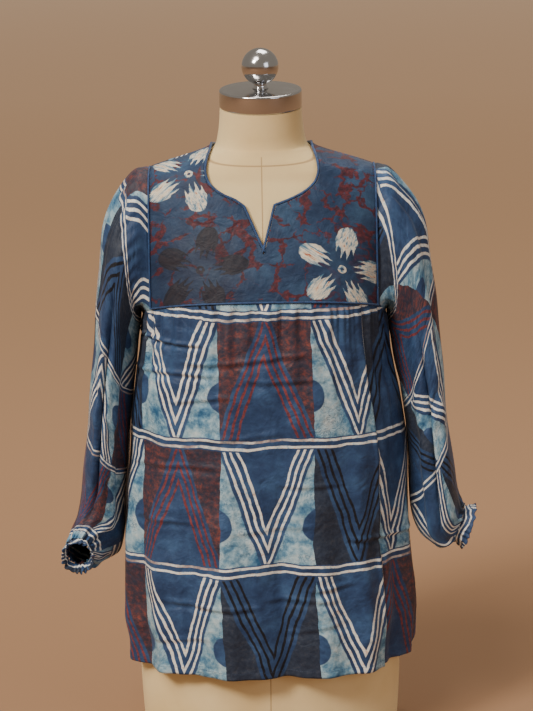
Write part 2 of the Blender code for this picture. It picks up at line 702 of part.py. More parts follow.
def finish_object(name, mesh, material, collection):
    """Put a mesh in the collection as a named, smooth shaded object."""
    piece = bpy.data.objects.new(name, mesh)
    collection.objects.link(piece)
    mesh.materials.append(material)
    mesh.shade_smooth()
    return piece


def grid_faces(index):
    """Four-sided faces between the rows and columns of a grid of vertex numbers."""
    corners = (index[:-1, :-1], index[1:, :-1], index[1:, 1:], index[:-1, 1:])
    return np.stack(corners, axis=-1).reshape(-1, 4)


def loft_mesh(name, vertices, faces, outward_hint):
    """Open surface from lofted faces, turned so that they point away from the hint."""
    mesh = bpy.data.meshes.new(name)
    mesh.from_pydata(vertices.tolist(), [], faces.tolist())
    mesh.update()
    outward = sum(
        face.normal.dot(face.center - outward_hint(face.center)) * face.area for face in mesh.polygons
    )
    if outward < 0:
        mesh.flip_normals()
    return mesh


def grid_mesh(name, grid, closed, outward_hint):
    """Loft one grid of points into an open surface, closed around where it is a tube."""
    rows, columns = grid.shape[:2]
    index = np.arange(rows * columns).reshape(rows, columns)
    if closed:
        index = np.concatenate([index, index[:, :1]], axis=1)
    return loft_mesh(name, grid.reshape(-1, 3), grid_faces(index), outward_hint)


def back_mesh(name, upper, lower, outward_hint):
    """Loft the back's two grids into one open surface that shares the row between them."""
    lower_index = np.arange(lower.shape[0] * lower.shape[1]).reshape(lower.shape[:2])
    upper_index = np.arange((upper.shape[0] - 1) * upper.shape[1]).reshape(-1, upper.shape[1])
    shared = lower_index[:1, BACK_SIDE_COLUMNS : BACK_SIDE_COLUMNS + upper.shape[1]]
    upper_index = np.concatenate([upper_index + lower_index.size, shared])
    vertices = np.concatenate([lower.reshape(-1, 3), upper[:-1].reshape(-1, 3)])
    faces = np.concatenate([grid_faces(lower_index), grid_faces(upper_index)])
    return loft_mesh(name, vertices, faces, outward_hint)


def add_wall(piece, thickness):
    """Give an open surface its wall, half to each side."""
    wall = piece.modifiers.new("Wall", "SOLIDIFY")
    wall.thickness = thickness
    wall.offset = 0.0
    wall.use_even_offset = True
    wall.use_rim = True


def from_axis(centre):
    """Point on the upright axis beside a face, which the tunic's body faces away from."""
    return Vector((0.0, 0.0, centre.z))


def from_middles(grid):
    """Hint for a tube: the middle of the ring nearest to a face."""
    middles = grid.mean(axis=1)

    def nearest(centre):
        gaps = np.linalg.norm(middles - np.array(centre), axis=1)
        return Vector(middles[int(np.argmin(gaps))])

    return nearest


def cloth_piece(mesh, material, collection, wall=CLOTH_WALL):
    """Make a cloth piece from its middle surface, with its wall."""
    piece = finish_object(mesh.name, mesh, material, collection)
    add_wall(piece, wall)
    return piece


def tube_along(name, points, radius, closed, material, collection):
    """Round piping along a polyline, with filled ends where it is open."""
    curve = bpy.data.curves.new(name, "CURVE")
    curve.dimensions = "3D"
    curve.bevel_depth = radius
    curve.bevel_resolution = (PIPING_SIDES - 4) // 2
    curve.use_fill_caps = True
    spline = curve.splines.new("POLY")
    spline.points.add(len(points) - 1)
    for point, place in zip(spline.points, points):
        point.co = (*place, 1.0)
    spline.use_cyclic_u = closed
    curve.materials.append(material)
    piece = bpy.data.objects.new(name, curve)
    collection.objects.link(piece)
    return piece


def neckline_loop(yoke, back):
    """Neckline points once round, the yoke's and then the back's, with directions into the cloth."""
    neck_columns = 2 * (BACK_COLUMNS // 4)
    first = (BACK_COLUMNS - neck_columns) // 2
    behind = slice(first + neck_columns - 1, first, -1)
    points = np.concatenate([yoke[0], back[0, behind]])
    inward = np.concatenate([yoke[1] - yoke[0], back[1, behind] - back[0, behind]])
    return points, inward


def neck_piping_path(yoke, back):
    """Centre line of the neck piping: beside the neckline's edge, in the opening, with mitred corners."""
    points, inward = neckline_loop(yoke, back)
    distance = NECK_PIPING_RADIUS + SEAM_GAP * 2
    before = points - np.roll(points, 1, axis=0)
    after = np.roll(points, -1, axis=0) - points
    before /= np.linalg.norm(before, axis=1)[:, None]
    after /= np.linalg.norm(after, axis=1)[:, None]
    tangent = before + after
    tangent /= np.linalg.norm(tangent, axis=1)[:, None]
    outward = tangent * np.einsum("ij,ij->i", inward, tangent)[:, None] - inward
    outward /= np.linalg.norm(outward, axis=1)[:, None]
    half_turn = np.arccos(np.clip(np.einsum("ij,ij->i", before, after), -1.0, 1.0)) / 2
    return points + outward * (distance / np.maximum(0.3, np.cos(half_turn)))[:, None]


def yoke_piping_path(yoke):
    """Centre line of the yoke piping: along the yoke's outer edge, just inside it and on top."""
    proud = CLOTH_WALL / 2 + SEAM_GAP * 1.5 + YOKE_PIPING_RADIUS
    edge = yoke[-1]
    along = np.gradient(yoke, axis=1)[-1]
    outward = yoke[-1] - yoke[-2]
    normals = np.cross(outward, along)
    normals *= np.sign(normals[len(edge) // 2, 1]) * -1
    normals /= np.linalg.norm(normals, axis=1)[:, None]
    before = edge[1:-1] - edge[:-2]
    after = edge[2:] - edge[1:-1]
    before /= np.linalg.norm(before, axis=1)[:, None]
    after /= np.linalg.norm(after, axis=1)[:, None]
    tangent = before + after
    tangent /= np.linalg.norm(tangent, axis=1)[:, None]
    inward = -np.cross(tangent, normals[1:-1])
    inward *= np.sign(np.einsum("ij,ij->i", inward, -outward[1:-1]))[:, None]
    half_turn = np.arccos(np.clip(np.einsum("ij,ij->i", before, after), -1.0, 1.0)) / 2
    inset = YOKE_PIPING_INSET / np.cos(half_turn)
    return edge[1:-1] + normals[1:-1] * proud + inward * inset[:, None]


def form_ring(height, lean_origin):
    """Ring of the dress form; the neck's rings lean forward with the neck."""
    section = form_section(height)
    points = []
    tilt = NECK_TILT * float(ease_in(height, NECK_LEAN_START - 0.02, NECK_LEAN_START + 0.03))
    rise = height - lean_origin
    for k in range(FORM_SEGMENTS):
        angle = 2 * math.pi * k / FORM_SEGMENTS
        across = float(ring_across(section, angle))
        reach = float(section["front"] if math.sin(angle) > 0 else section["back"])
        depth = -math.copysign(1.0, math.sin(angle)) * float(ring_depth(section, angle, reach))
        if rise > 0:
            y = depth * math.cos(tilt) - rise * math.sin(tilt)
            z = lean_origin + rise * math.cos(tilt) + depth * math.sin(tilt)
            points.append((across, y, z))
        else:
            points.append((across, depth, height))
    return points


def build_form(material, collection):
    """Torso and neck of the dress form: one closed loft with a flat bottom."""
    body_heights = list(np.arange(0.0, SHOULDER_START, FORM_RING_STEP))
    shoulder_heights = list(np.arange(SHOULDER_START, NECK_LEAN_START, SHOULDER_RING_STEP))
    neck_heights = list(np.arange(NECK_LEAN_START + 0.004, FORM_SECTIONS[-1][0] - 0.004, NECK_RING_STEP))
    heights = body_heights + shoulder_heights + neck_heights + [FORM_SECTIONS[-1][0]]
    rings = [form_ring(height, NECK_LEAN_START) for height in heights]
    shape = bmesh.new()
    loops = [[shape.verts.new(point) for point in ring] for ring in rings]
    for low, high in zip(loops, loops[1:]):
        for k in range(FORM_SEGMENTS):
            following = (k + 1) % FORM_SEGMENTS
            shape.faces.new((low[k], low[following], high[following], high[k]))
    shape.faces.new(loops[0])
    shape.faces.new(loops[-1])
    bmesh.ops.recalc_face_normals(shape, faces=shape.faces)
    mesh = bpy.data.meshes.new("form_torso")
    shape.to_mesh(mesh)
    shape.free()
    piece = finish_object("form_torso", mesh, material, collection)
    mesh.set_sharp_from_angle(angle=math.radians(40))
    return piece


def turned(name, profile, steps, material, collection):
    """Turn a profile of (radius, height) pairs, top to bottom, about its own upright axis."""
    mesh = bpy.data.meshes.new(name)
    points = [(radius, 0.0, height) for radius, height in profile]
    mesh.from_pydata(points, [(k, k + 1) for k in range(len(points) - 1)], [])
    piece = bpy.data.objects.new(name, mesh)
    collection.objects.link(piece)
    mesh.materials.append(material)
    screw = piece.modifiers.new("Turn", "SCREW")
    screw.steps = steps
    screw.render_steps = steps
    screw.use_merge_vertices = True
    screw.merge_threshold = 0.00001
    screw.use_smooth_shade = True
    return piece


def place_on_neck(piece, rise):
    """Set a turned piece on the leaning neck, a distance along the neck above its top."""
    length = FORM_SECTIONS[-1][0] - NECK_LEAN_START + rise
    piece.rotation_euler = (NECK_TILT, 0.0, 0.0)
    piece.location = (
        0.0,
        -length * math.sin(NECK_TILT),
        NECK_LEAN_START + length * math.cos(NECK_TILT),
    )


def build_cap(material, collection):
    """Shallow round cap on the neck and the ball that stands on it."""
    cap_profile = [
        (0.0, CAP_HEIGHT + 0.0008),
        (CAP_RADIUS * 0.55, CAP_HEIGHT + 0.0005),
        (CAP_RADIUS - CAP_EDGE, CAP_HEIGHT),
        (CAP_RADIUS - CAP_EDGE * 0.3, CAP_HEIGHT - CAP_EDGE * 0.3),
        (CAP_RADIUS, CAP_HEIGHT - CAP_EDGE),
        (CAP_RADIUS, CAP_EDGE * 0.5),
        (CAP_RADIUS - CAP_EDGE * 0.5, 0.0),
        (0.0, 0.0),
    ]
    cap = turned("neck_cap", cap_profile, 36, material, collection)
    place_on_neck(cap, SEAM_GAP)
    joint = math.asin(STEM_RADIUS / BALL_RADIUS)
    ball_centre = STEM_HEIGHT + BALL_RADIUS * math.cos(joint)
    ball_profile = []
    steps = 9
    for k in range(steps + 1):
        angle = (math.pi - joint) * k / steps
        ball_profile.append((BALL_RADIUS * math.sin(angle), ball_centre + BALL_RADIUS * math.cos(angle)))
    ball_profile += [(STEM_RADIUS * 1.25, 0.0008), (STEM_RADIUS * 1.25, 0.0), (0.0, 0.0)]
    ball = turned("cap_ball", ball_profile, 28, material, collection)
    place_on_neck(ball, SEAM_GAP * 2 + CAP_HEIGHT + 0.0008)
    return cap, ball


def main():
    """Build the dress form and the tunic's pieces in one collection."""
    for leftover in list(bpy.data.objects):
        bpy.data.objects.remove(leftover, do_unlink=True)
    collection = bpy.data.collections.new("tunic_top_on_dress_form")
    bpy.context.scene.collection.children.link(collection)
    finish = {name: new_material(name) for name in MATERIALS}

    build_form(finish["form_linen"], collection)
    build_cap(finish["bright_chrome"], collection)

    half_seam = SIDE_SEAM_GAP / 2
    yoke = yoke_grid(half_seam)
    front = front_grid(half_seam)
    back_upper, back_lower = back_grids(half_seam)
    cloth_piece(grid_mesh("front_yoke", yoke, False, from_axis), finish["navy_print"], collection)
    cloth_piece(grid_mesh("front_panel", front, False, from_axis), finish["rust_print"], collection)
    cloth_piece(
        back_mesh("back_panel", back_upper, back_lower, from_axis), finish["navy_print"], collection
    )
    for arm, rings, side in (("left", LEFT_ARM_RINGS, 1), ("right", RIGHT_ARM_RINGS, -1)):
        sleeve = sleeve_grid(rings, side)
        cuff = cuff_grid(sleeve[-1], sleeve[-2])
        for name, grid, wall in (("sleeve", sleeve, CLOTH_WALL), ("cuff", cuff, CUFF_WALL)):
            mesh = grid_mesh(f"{name}_{arm}", grid, True, from_middles(grid))
            cloth_piece(mesh, finish["navy_print"], collection, wall)

    neck_path = neck_piping_path(yoke, back_upper)
    tube_along("neck_piping", neck_path, NECK_PIPING_RADIUS, True, finish["piping_blue"], collection)
    yoke_path = yoke_piping_path(yoke)
    tube_along("yoke_piping", yoke_path, YOKE_PIPING_RADIUS, False, finish["piping_blue"], collection)


main()
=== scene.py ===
"""Looks of a printed tunic top on its limbless dress form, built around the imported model.

The tunic is thin shells on the solids' own surfaces: a flat front yoke with a notched neckline, a front
panel gathered under it, one back panel, two full sleeves and their cuffs, with round piping. The form is a
linen-covered torso with a polished cap and ball. Metres, +Z up, the front at -Y.
"""

from __future__ import annotations

import logging
import math
from dataclasses import dataclass
from enum import Enum

import bmesh
import bpy
import numpy as np
from mathutils import Matrix, Vector

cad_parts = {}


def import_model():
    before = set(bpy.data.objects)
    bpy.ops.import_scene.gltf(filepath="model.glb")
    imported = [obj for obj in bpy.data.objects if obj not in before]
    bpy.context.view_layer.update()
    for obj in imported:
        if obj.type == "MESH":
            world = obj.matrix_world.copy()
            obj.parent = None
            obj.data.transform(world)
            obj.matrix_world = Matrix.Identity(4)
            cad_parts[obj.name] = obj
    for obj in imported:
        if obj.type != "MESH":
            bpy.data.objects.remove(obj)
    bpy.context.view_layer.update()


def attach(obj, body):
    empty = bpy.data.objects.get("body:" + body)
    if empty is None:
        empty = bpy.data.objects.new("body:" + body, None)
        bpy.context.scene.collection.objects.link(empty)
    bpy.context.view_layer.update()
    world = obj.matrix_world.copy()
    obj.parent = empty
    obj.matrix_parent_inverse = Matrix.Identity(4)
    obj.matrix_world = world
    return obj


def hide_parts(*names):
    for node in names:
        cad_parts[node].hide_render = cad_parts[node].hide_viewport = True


LOG = logging.getLogger("tunic_top")
Array = np.ndarray
Colour = tuple[float, float, float, float]
BODY = "root"

SECTION_COLUMNS = ("height", "half_width", "front", "back", "power", "shift")
FORM_SECTIONS = (
    (0.000, 0.1785, 0.106, 0.108, 2.20, 0.0),
    (0.100, 0.1830, 0.112, 0.118, 2.20, 0.0),
    (0.180, 0.1820, 0.108, 0.121, 2.20, 0.0),
    (0.250, 0.1700, 0.100, 0.112, 2.15, 0.0),
    (0.330, 0.1480, 0.092, 0.094, 2.10, 0.0),
    (0.410, 0.1300, 0.086, 0.080, 2.10, 0.0),
    (0.480, 0.1340, 0.092, 0.083, 2.15, 0.0),
    (0.550, 0.1440, 0.108, 0.090, 2.20, 0.0),
    (0.600, 0.1500, 0.119, 0.096, 2.25, 0.0),
    (0.640, 0.1560, 0.119, 0.100, 2.30, 0.0),
    (0.690, 0.1680, 0.107, 0.103, 2.30, 0.0),
    (0.735, 0.1760, 0.092, 0.099, 2.30, 0.0),
    (0.762, 0.1765, 0.083, 0.093, 2.30, 0.0),
    (0.780, 0.1720, 0.076, 0.088, 2.25, 0.0),
    (0.791, 0.1640, 0.072, 0.085, 2.20, 0.0),
    (0.800, 0.1500, 0.070, 0.082, 2.20, 0.0),
    (0.8075, 0.1290, 0.068, 0.079, 2.15, 0.0),
    (0.8145, 0.1060, 0.066, 0.075, 2.10, 0.0),
    (0.8215, 0.0840, 0.063, 0.070, 2.05, 0.0),
    (0.8275, 0.0690, 0.061, 0.065, 2.00, 0.0),
    (0.834, 0.0620, 0.059, 0.060, 2.00, 0.0),
    (0.848, 0.0585, 0.057, 0.055, 2.00, 0.0),
    (0.868, 0.0560, 0.056, 0.053, 2.00, 0.0),
    (0.884, 0.0550, 0.055, 0.052, 2.00, 0.0),
)
HANG_SECTIONS = (
    (0.090, 0.2000, 0.143, 0.134, 2.15, 0.0050),
    (0.147, 0.2010, 0.142, 0.133, 2.15, 0.0050),
    (0.187, 0.2045, 0.141, 0.132, 2.15, 0.0030),
    (0.245, 0.2015, 0.139, 0.129, 2.15, 0.0000),
    (0.305, 0.1975, 0.137, 0.123, 2.15, -0.0010),
    (0.370, 0.1945, 0.135, 0.118, 2.15, 0.0010),
    (0.420, 0.1915, 0.133, 0.114, 2.15, 0.0030),
    (0.480, 0.1845, 0.132, 0.112, 2.20, 0.0020),
    (0.530, 0.1765, 0.131, 0.110, 2.25, 0.0000),
    (0.570, 0.1695, 0.130, 0.109, 2.30, 0.0000),
    (0.620, 0.1660, 0.128, 0.108, 2.30, 0.0000),
    (0.700, 0.1740, 0.111, 0.108, 2.30, 0.0000),
)
NECK_HALF = (
    (0.0755, 0.8170),
    (0.0770, 0.8060),
    (0.0740, 0.7930),
    (0.0650, 0.7820),
    (0.0520, 0.7735),
    (0.0360, 0.7665),
)
NOTCH_LEFT = (-0.0255, 0.7590)
NOTCH_RIGHT = (0.0175, 0.7600)
NOTCH_TIP = (0.0010, 0.6985)
SLEEVE_COLUMNS = ("outer_x", "outer_z", "inner_x", "inner_z", "middle_y", "half_depth", "turn")
LEFT_ARM_RINGS = (
    (0.1680, 0.7950, 0.1640, 0.6150, -0.002, 0.068, 0.0),
    (0.1870, 0.7780, 0.1735, 0.6080, -0.002, 0.070, 0.0),
    (0.2060, 0.7560, 0.1785, 0.5900, -0.002, 0.070, 0.0),
    (0.2200, 0.7180, 0.1830, 0.5640, -0.003, 0.068, 0.0),
    (0.2290, 0.6620, 0.1880, 0.5300, -0.004, 0.067, 0.0),
    (0.2370, 0.6050, 0.1930, 0.4950, -0.006, 0.067, 0.0),
    (0.2430, 0.5450, 0.1990, 0.4550, -0.008, 0.068, 0.0),
    (0.2470, 0.4850, 0.2040, 0.4150, -0.010, 0.070, 0.0),
    (0.2540, 0.4250, 0.2080, 0.3750, -0.012, 0.070, 0.0),
    (0.2620, 0.3700, 0.2120, 0.3300, -0.014, 0.066, 0.0),
    (0.2665, 0.3420, 0.2200, 0.2880, -0.018, 0.056, 0.0),
    (0.2690, 0.3330, 0.2380, 0.2700, -0.024, 0.040, 0.0),
    (0.2705, 0.3300, 0.2535, 0.2790, -0.030, 0.024, 0.0),
)
RIGHT_ARM_RINGS = (
    (0.1680, 0.7970, 0.1640, 0.6150, -0.002, 0.068, 0.0),
    (0.1850, 0.7830, 0.1735, 0.6080, -0.002, 0.070, 0.0),
    (0.2020, 0.7600, 0.1785, 0.5900, -0.002, 0.070, 0.0),
    (0.2160, 0.7200, 0.1830, 0.5640, -0.003, 0.068, 0.0),
    (0.2240, 0.6620, 0.1880, 0.5300, -0.004, 0.067, 0.0),
    (0.2310, 0.6000, 0.1930, 0.4950, -0.006, 0.067, 0.0),
    (0.2370, 0.5400, 0.1990, 0.4550, -0.008, 0.068, 0.0),
    (0.2440, 0.4750, 0.2030, 0.4150, -0.010, 0.070, 0.0),
    (0.2520, 0.4080, 0.2050, 0.3700, -0.008, 0.070, 8.0),
    (0.2600, 0.3480, 0.2060, 0.3200, -0.002, 0.066, 20.0),
    (0.2700, 0.3000, 0.2110, 0.2830, -0.016, 0.055, 42.0),
    (0.2770, 0.2860, 0.2280, 0.2790, -0.044, 0.038, 62.0),
    (0.2790, 0.2850, 0.2420, 0.2830, -0.066, 0.020, 76.0),
)


def smooth_interp(at: Array | float, knots: Array, values: Array) -> Array:
    """Read a monotone cubic through the knots.

    Args:
        at: Places to read.
        knots: Rising places of the known values.
        values: Known values.

    Returns:
        The values at the places.
    """
    knots = np.asarray(knots, float)
    values = np.asarray(values, float)
    steps = np.diff(knots)
    slopes = np.diff(values) / steps
    tangents = np.zeros_like(values)
    rising = slopes[:-1] * slopes[1:] > 0
    weights_a = 2 * steps[1:] + steps[:-1]
    weights_b = steps[1:] + 2 * steps[:-1]
    safe_a = np.where(rising, slopes[:-1], 1.0)
    safe_b = np.where(rising, slopes[1:], 1.0)
    harmonic = (weights_a + weights_b) / (weights_a / safe_a + weights_b / safe_b)
    tangents[1:-1] = np.where(rising, harmonic, 0.0)
    tangents[0] = slopes[0]
    tangents[-1] = slopes[-1]
    at = np.clip(np.asarray(at, float), knots[0], knots[-1])
    index = np.clip(np.searchsorted(knots, at, side="right") - 1, 0, len(steps) - 1)
    span = steps[index]
    t = (at - knots[index]) / span
    return (
        values[index] * (1 + 2 * t) * (1 - t) ** 2
        + tangents[index] * span * t * (1 - t) ** 2
        + values[index + 1] * t * t * (3 - 2 * t)
        + tangents[index + 1] * span * t * t * (t - 1)
    )


def table_row(table: tuple, columns: tuple[str, ...], at: Array | float) -> dict[str, Array]:
    """Read every column of a table at values of its first column.

    Args:
        table: Rows of numbers.
        columns: Names of the columns.
        at: Values of the first column.

    Returns:
        Column name to values.
    """
    rows = np.asarray(table, float)
    return {name: smooth_interp(at, rows[:, 0], rows[:, i]) for i, name in enumerate(columns)}


def ease_in(value: Array | float, low: float | Array, high: float | Array) -> Array:
    """Rise smoothly from 0 at low to 1 at high."""
    t = np.clip((np.asarray(value, float) - low) / (high - low), 0.0, 1.0)
    return t * t * (3 - 2 * t)


def rise_and_fall(value: Array, start: float, full: float, until: float, end: float) -> Array:
    """Rise smoothly from 0 at start to 1 at full, stay there and fall back to 0 at end."""
    return ease_in(value, start, full) * (1 - ease_in(value, until, end))


def unit(vectors: Array) -> Array:
    """Vectors scaled to length 1 along the last axis."""
    return vectors / np.maximum(np.linalg.norm(vectors, axis=-1, keepdims=True), 1e-9)


def arc_length(points: Array) -> Array:
    """Running length along a polyline, from 0."""
    return np.r_[0.0, np.cumsum(np.linalg.norm(np.diff(points, axis=0), axis=1))]


def grid_normals(grid: Array, closed: bool) -> Array:
    """Normals of a grid of points, from its own rows and columns.

    Args:
        grid: Points as rows, columns and coordinates.
        closed: Whether the columns join around.

    Returns:
        One unit normal for each point; which side they point to depends on the grid.
    """
    down = np.gradient(grid, axis=0)
    if closed:
        across = np.roll(grid, -1, axis=1) - np.roll(grid, 1, axis=1)
    else:
        across = np.gradient(grid, axis=1)
    return unit(np.cross(down, across))


@dataclass(frozen=True)
class WornShape:
    """The dress form's surface and the middle surface of the tunic worn on it."""

    shoulder_lift: float = 0.0020
    wearing_ease: float = 0.0048
    shoulder_start: float = 0.750
    hang_top: float = 0.625
    fit_from: float = 0.700
    yoke_half_width: float = 0.152
    corner_height: float = 0.618
    corner_depth: float = 0.060
    edge_rise: float = 0.277
    neck_point_height: float = 0.8330
    back_neck_height: float = 0.8235
    seam_half: float = 0.00045

    def form_section(self, height: Array | float) -> dict[str, Array]:
        """Section of the dress form at a height."""
        return table_row(FORM_SECTIONS, SECTION_COLUMNS, height)

    def section(self, height: Array | float) -> dict[str, Array]:
        """Section of the tunic: hanging below the bust, lying on the form above it.

        Args:
            height: Heights to read.

        Returns:
            Half width, front, back, power and shift at the heights.
        """
        height = np.asarray(height, float)
        hang = table_row(HANG_SECTIONS, SECTION_COLUMNS, height)
        lift = self.shoulder_lift * ease_in(height, self.shoulder_start, self.shoulder_start + 0.03)
        worn = self.form_section(height - lift)
        fit = ease_in(height, self.hang_top, self.fit_from)
        result = {}
        for name in SECTION_COLUMNS:
            extra = self.wearing_ease if name in ("half_width", "front", "back") else 0.0
            result[name] = hang[name] * (1 - fit) + (worn[name] + extra) * fit
        return result

    def depth(self, across: Array | float, height: Array | float, side: int) -> Array:
        """Distance of the tunic from the XZ plane, at the front (side -1) or the back (side 1)."""
        section = self.section(height)
        reach = section["front"] if side < 0 else section["back"]
        ratio = np.clip(np.abs(across - section["shift"]) / section["half_width"], 0.0, 1.0)
        return reach * (1 - ratio ** section["power"]) ** (1 / section["power"])

    def ridge(self, across: Array | float) -> Array:
        """Height of the shoulder ridge at places across."""
        across = np.abs(np.asarray(across, float))
        low = np.full_like(across, 0.775)
        high = np.full_like(across, 0.860)
        for _ in range(40):
            middle = (low + high) / 2
            wider = self.section(middle)["half_width"] > across
            low = np.where(wider, middle, low)
            high = np.where(wider, high, middle)
        return low

    def neck_across(self) -> float:
        """Half width of the neckline where it crosses the shoulder ridge."""
        return float(self.section(self.neck_point_height)["half_width"])

    def ring(self, height: Array, angle: Array, side: int, relief: Array | float = 0.0) -> Array:
        """Points on the rings at the heights, moved outward by the relief.

        Args:
            height: Heights.
            angle: Ring angles; 0 is the +X side seam and pi the -X one.
            side: -1 for the front, 1 for the back.
            relief: Distances outward.

        Returns:
            Points, with the coordinates on the last axis.
        """
        section = self.section(height)
        reach = section["front"] if side < 0 else section["back"]
        cosine, sine = np.cos(angle), np.sin(angle)
        power = 2 / section["power"]
        across = section["shift"] + section["half_width"] * np.sign(cosine) * np.abs(cosine) ** power
        depth = reach * np.abs(sine) ** power
        normal_x, normal_y = cosine / section["half_width"], sine / reach
        size = np.hypot(normal_x, normal_y)
        x = across + relief * normal_x / size
        y = side * (depth + relief * normal_y / size + self.seam_half)
        return np.stack([x, y, height + 0 * x], axis=-1)

    def seam_height(self, depth: Array | float) -> Array:
        """Height of the slanted line of the yoke's lower edge and the underarm, for a depth."""
        return self.corner_height + self.edge_rise * (np.asarray(depth) - self.corner_depth)

    def seam_on_ring(self, angle: Array, side: int) -> Array:
        """Height of the slanted seam line at ring angles."""
        height = np.full_like(np.asarray(angle, float), self.corner_height)
        for _ in range(12):
            section = self.section(height)
            reach = section["front"] if side < 0 else section["back"]
            height = self.seam_height(reach * np.abs(np.sin(angle)) ** (2 / section["power"]))
        return height

    def seam_across(self, across: Array | float, side: int = -1) -> Array:
        """Height of the slanted seam line under places across."""
        height = np.full_like(np.asarray(across, float), self.corner_height)
        for _ in range(12):
            height = self.seam_height(self.depth(across, height, side))
        return height

    def corner_angle(self, side: int) -> float:
        """Ring angle of the yoke's corner on the seam line."""
        low, high = 0.0, math.pi / 2
        for _ in range(30):
            middle = (low + high) / 2
            point = self.ring(self.seam_on_ring(np.array([middle]), side), np.array([middle]), side)
            if point[0, 0] > self.yoke_half_width:
                low = middle
            else:
                high = middle
        return low

    def draped(self, tops: Array, lows: Array, shares: Array, side: int) -> Array:
        """Points from each top to its low over the shoulder's round, even in depth.

        Args:
            tops: Upper ends as (across, height).
            lows: Lower ends as (across, height).
            shares: Places between them, 0 to 1.
            side: -1 for the front, 1 for the back.

        Returns:
            Grid with a row for each share and a column for each pair.
        """
        across = tops[None, :, 0] + (lows - tops)[None, :, 0] * shares[:, None]
        neck = self.neck_across()
        crest = self.ridge(np.maximum(np.abs(across), neck))
        drop_top = np.sqrt(np.maximum(0.0, self.ridge(np.maximum(np.abs(tops[:, 0]), neck)) - tops[:, 1]))
        drop_low = np.sqrt(np.maximum(0.0, self.ridge(np.maximum(np.abs(lows[:, 0]), neck)) - lows[:, 1]))
        height = crest - (drop_top[None] + (drop_low - drop_top)[None] * shares[:, None]) ** 2
        depth = side * (self.depth(across, height, side) + self.seam_half)
        return np.stack([across, depth, height], axis=-1)

    def normal(self, points: Array) -> Array:
        """Outward normals of the worn surface at points, from the section's own formula."""
        x, y, z = points[:, 0], points[:, 1], points[:, 2]
        step = 0.0005
        low, here, high = (self.section(z + k * step) for k in (-1, 0, 1))

        def pick(section: dict[str, Array]) -> Array:
            return np.where(y < 0, section["front"], section["back"])

        power = here["power"]
        ratio_x = np.minimum(np.abs(x) / here["half_width"], 1.0)
        ratio_y = np.minimum(np.abs(y) / pick(here), 1.0)
        widening = (high["half_width"] - low["half_width"]) / (2 * step)
        deepening = (pick(high) - pick(low)) / (2 * step)
        normal = np.stack(
            [
                np.copysign(ratio_x ** (power - 1) / here["half_width"], x),
                np.copysign(ratio_y ** (power - 1) / pick(here), y),
                -(ratio_x**power) * widening / here["half_width"] - ratio_y**power * deepening / pick(here),
            ],
            axis=-1,
        )
        return unit(normal)


SHAPE = WornShape()


@dataclass(frozen=True)
class Crease:
    """A pressed line across the cloth: a low ridge with a shallow trough under it."""

    height: float
    centre: float
    reach: float
    slope: float
    relief: float
    width: float

    def relief_at(self, across: Array, height: Array) -> Array:
        """Outward relief of the crease at places across (metres) and heights."""
        wander = 0.0025 * np.sin(31.0 * across + 57.0 * self.height)
        below = self.height + self.slope * (across - self.centre) + wander - height
        window = ease_in(self.reach - np.abs(across - self.centre), 0.0, 0.5 * self.reach)
        ridge = np.exp(-((below / self.width) ** 2))
        trough = np.exp(-(((below - 2.4 * self.width) / (1.5 * self.width)) ** 2))
        return 1.9 * self.relief * window * (ridge - 0.9 * trough)


@dataclass(frozen=True)
class Fold:
    """A soft fold that runs along the cloth between two places and may drift sideways."""

    place: float
    start: float
    end: float
    drift: float
    width: float
    relief: float

    def relief_at(self, across: Array, along: Array) -> Array:
        """Relief of the fold at places across and along the cloth."""
        share = (along - self.start) / (self.end - self.start)
        middle = self.place + self.drift * share + 0.10 * self.width * np.sin(9.0 * share)
        growth = rise_and_fall(share, 0.0, 0.35, 0.65, 1.0)
        return self.relief * growth * np.exp(-(((across - middle) / self.width) ** 2))


def rolls(x: Array, height: Array) -> Array:
    """Broad uneven rolls of soft cloth, with a few sharper ones among them."""
    broad = 0.0016 * np.sin(41.0 * x + 23.0 * height + 1.4 * np.sin(19.0 * height)) * np.sin(31.0 * height - 15.0 * x)
    bent = 67.0 * x - 37.0 * height + 1.9 * np.sin(23.0 * x + 9.0 * height)
    return broad + 0.0008 * np.sin(bent) * np.sin(53.0 * height + 27.0 * x + 1.0)


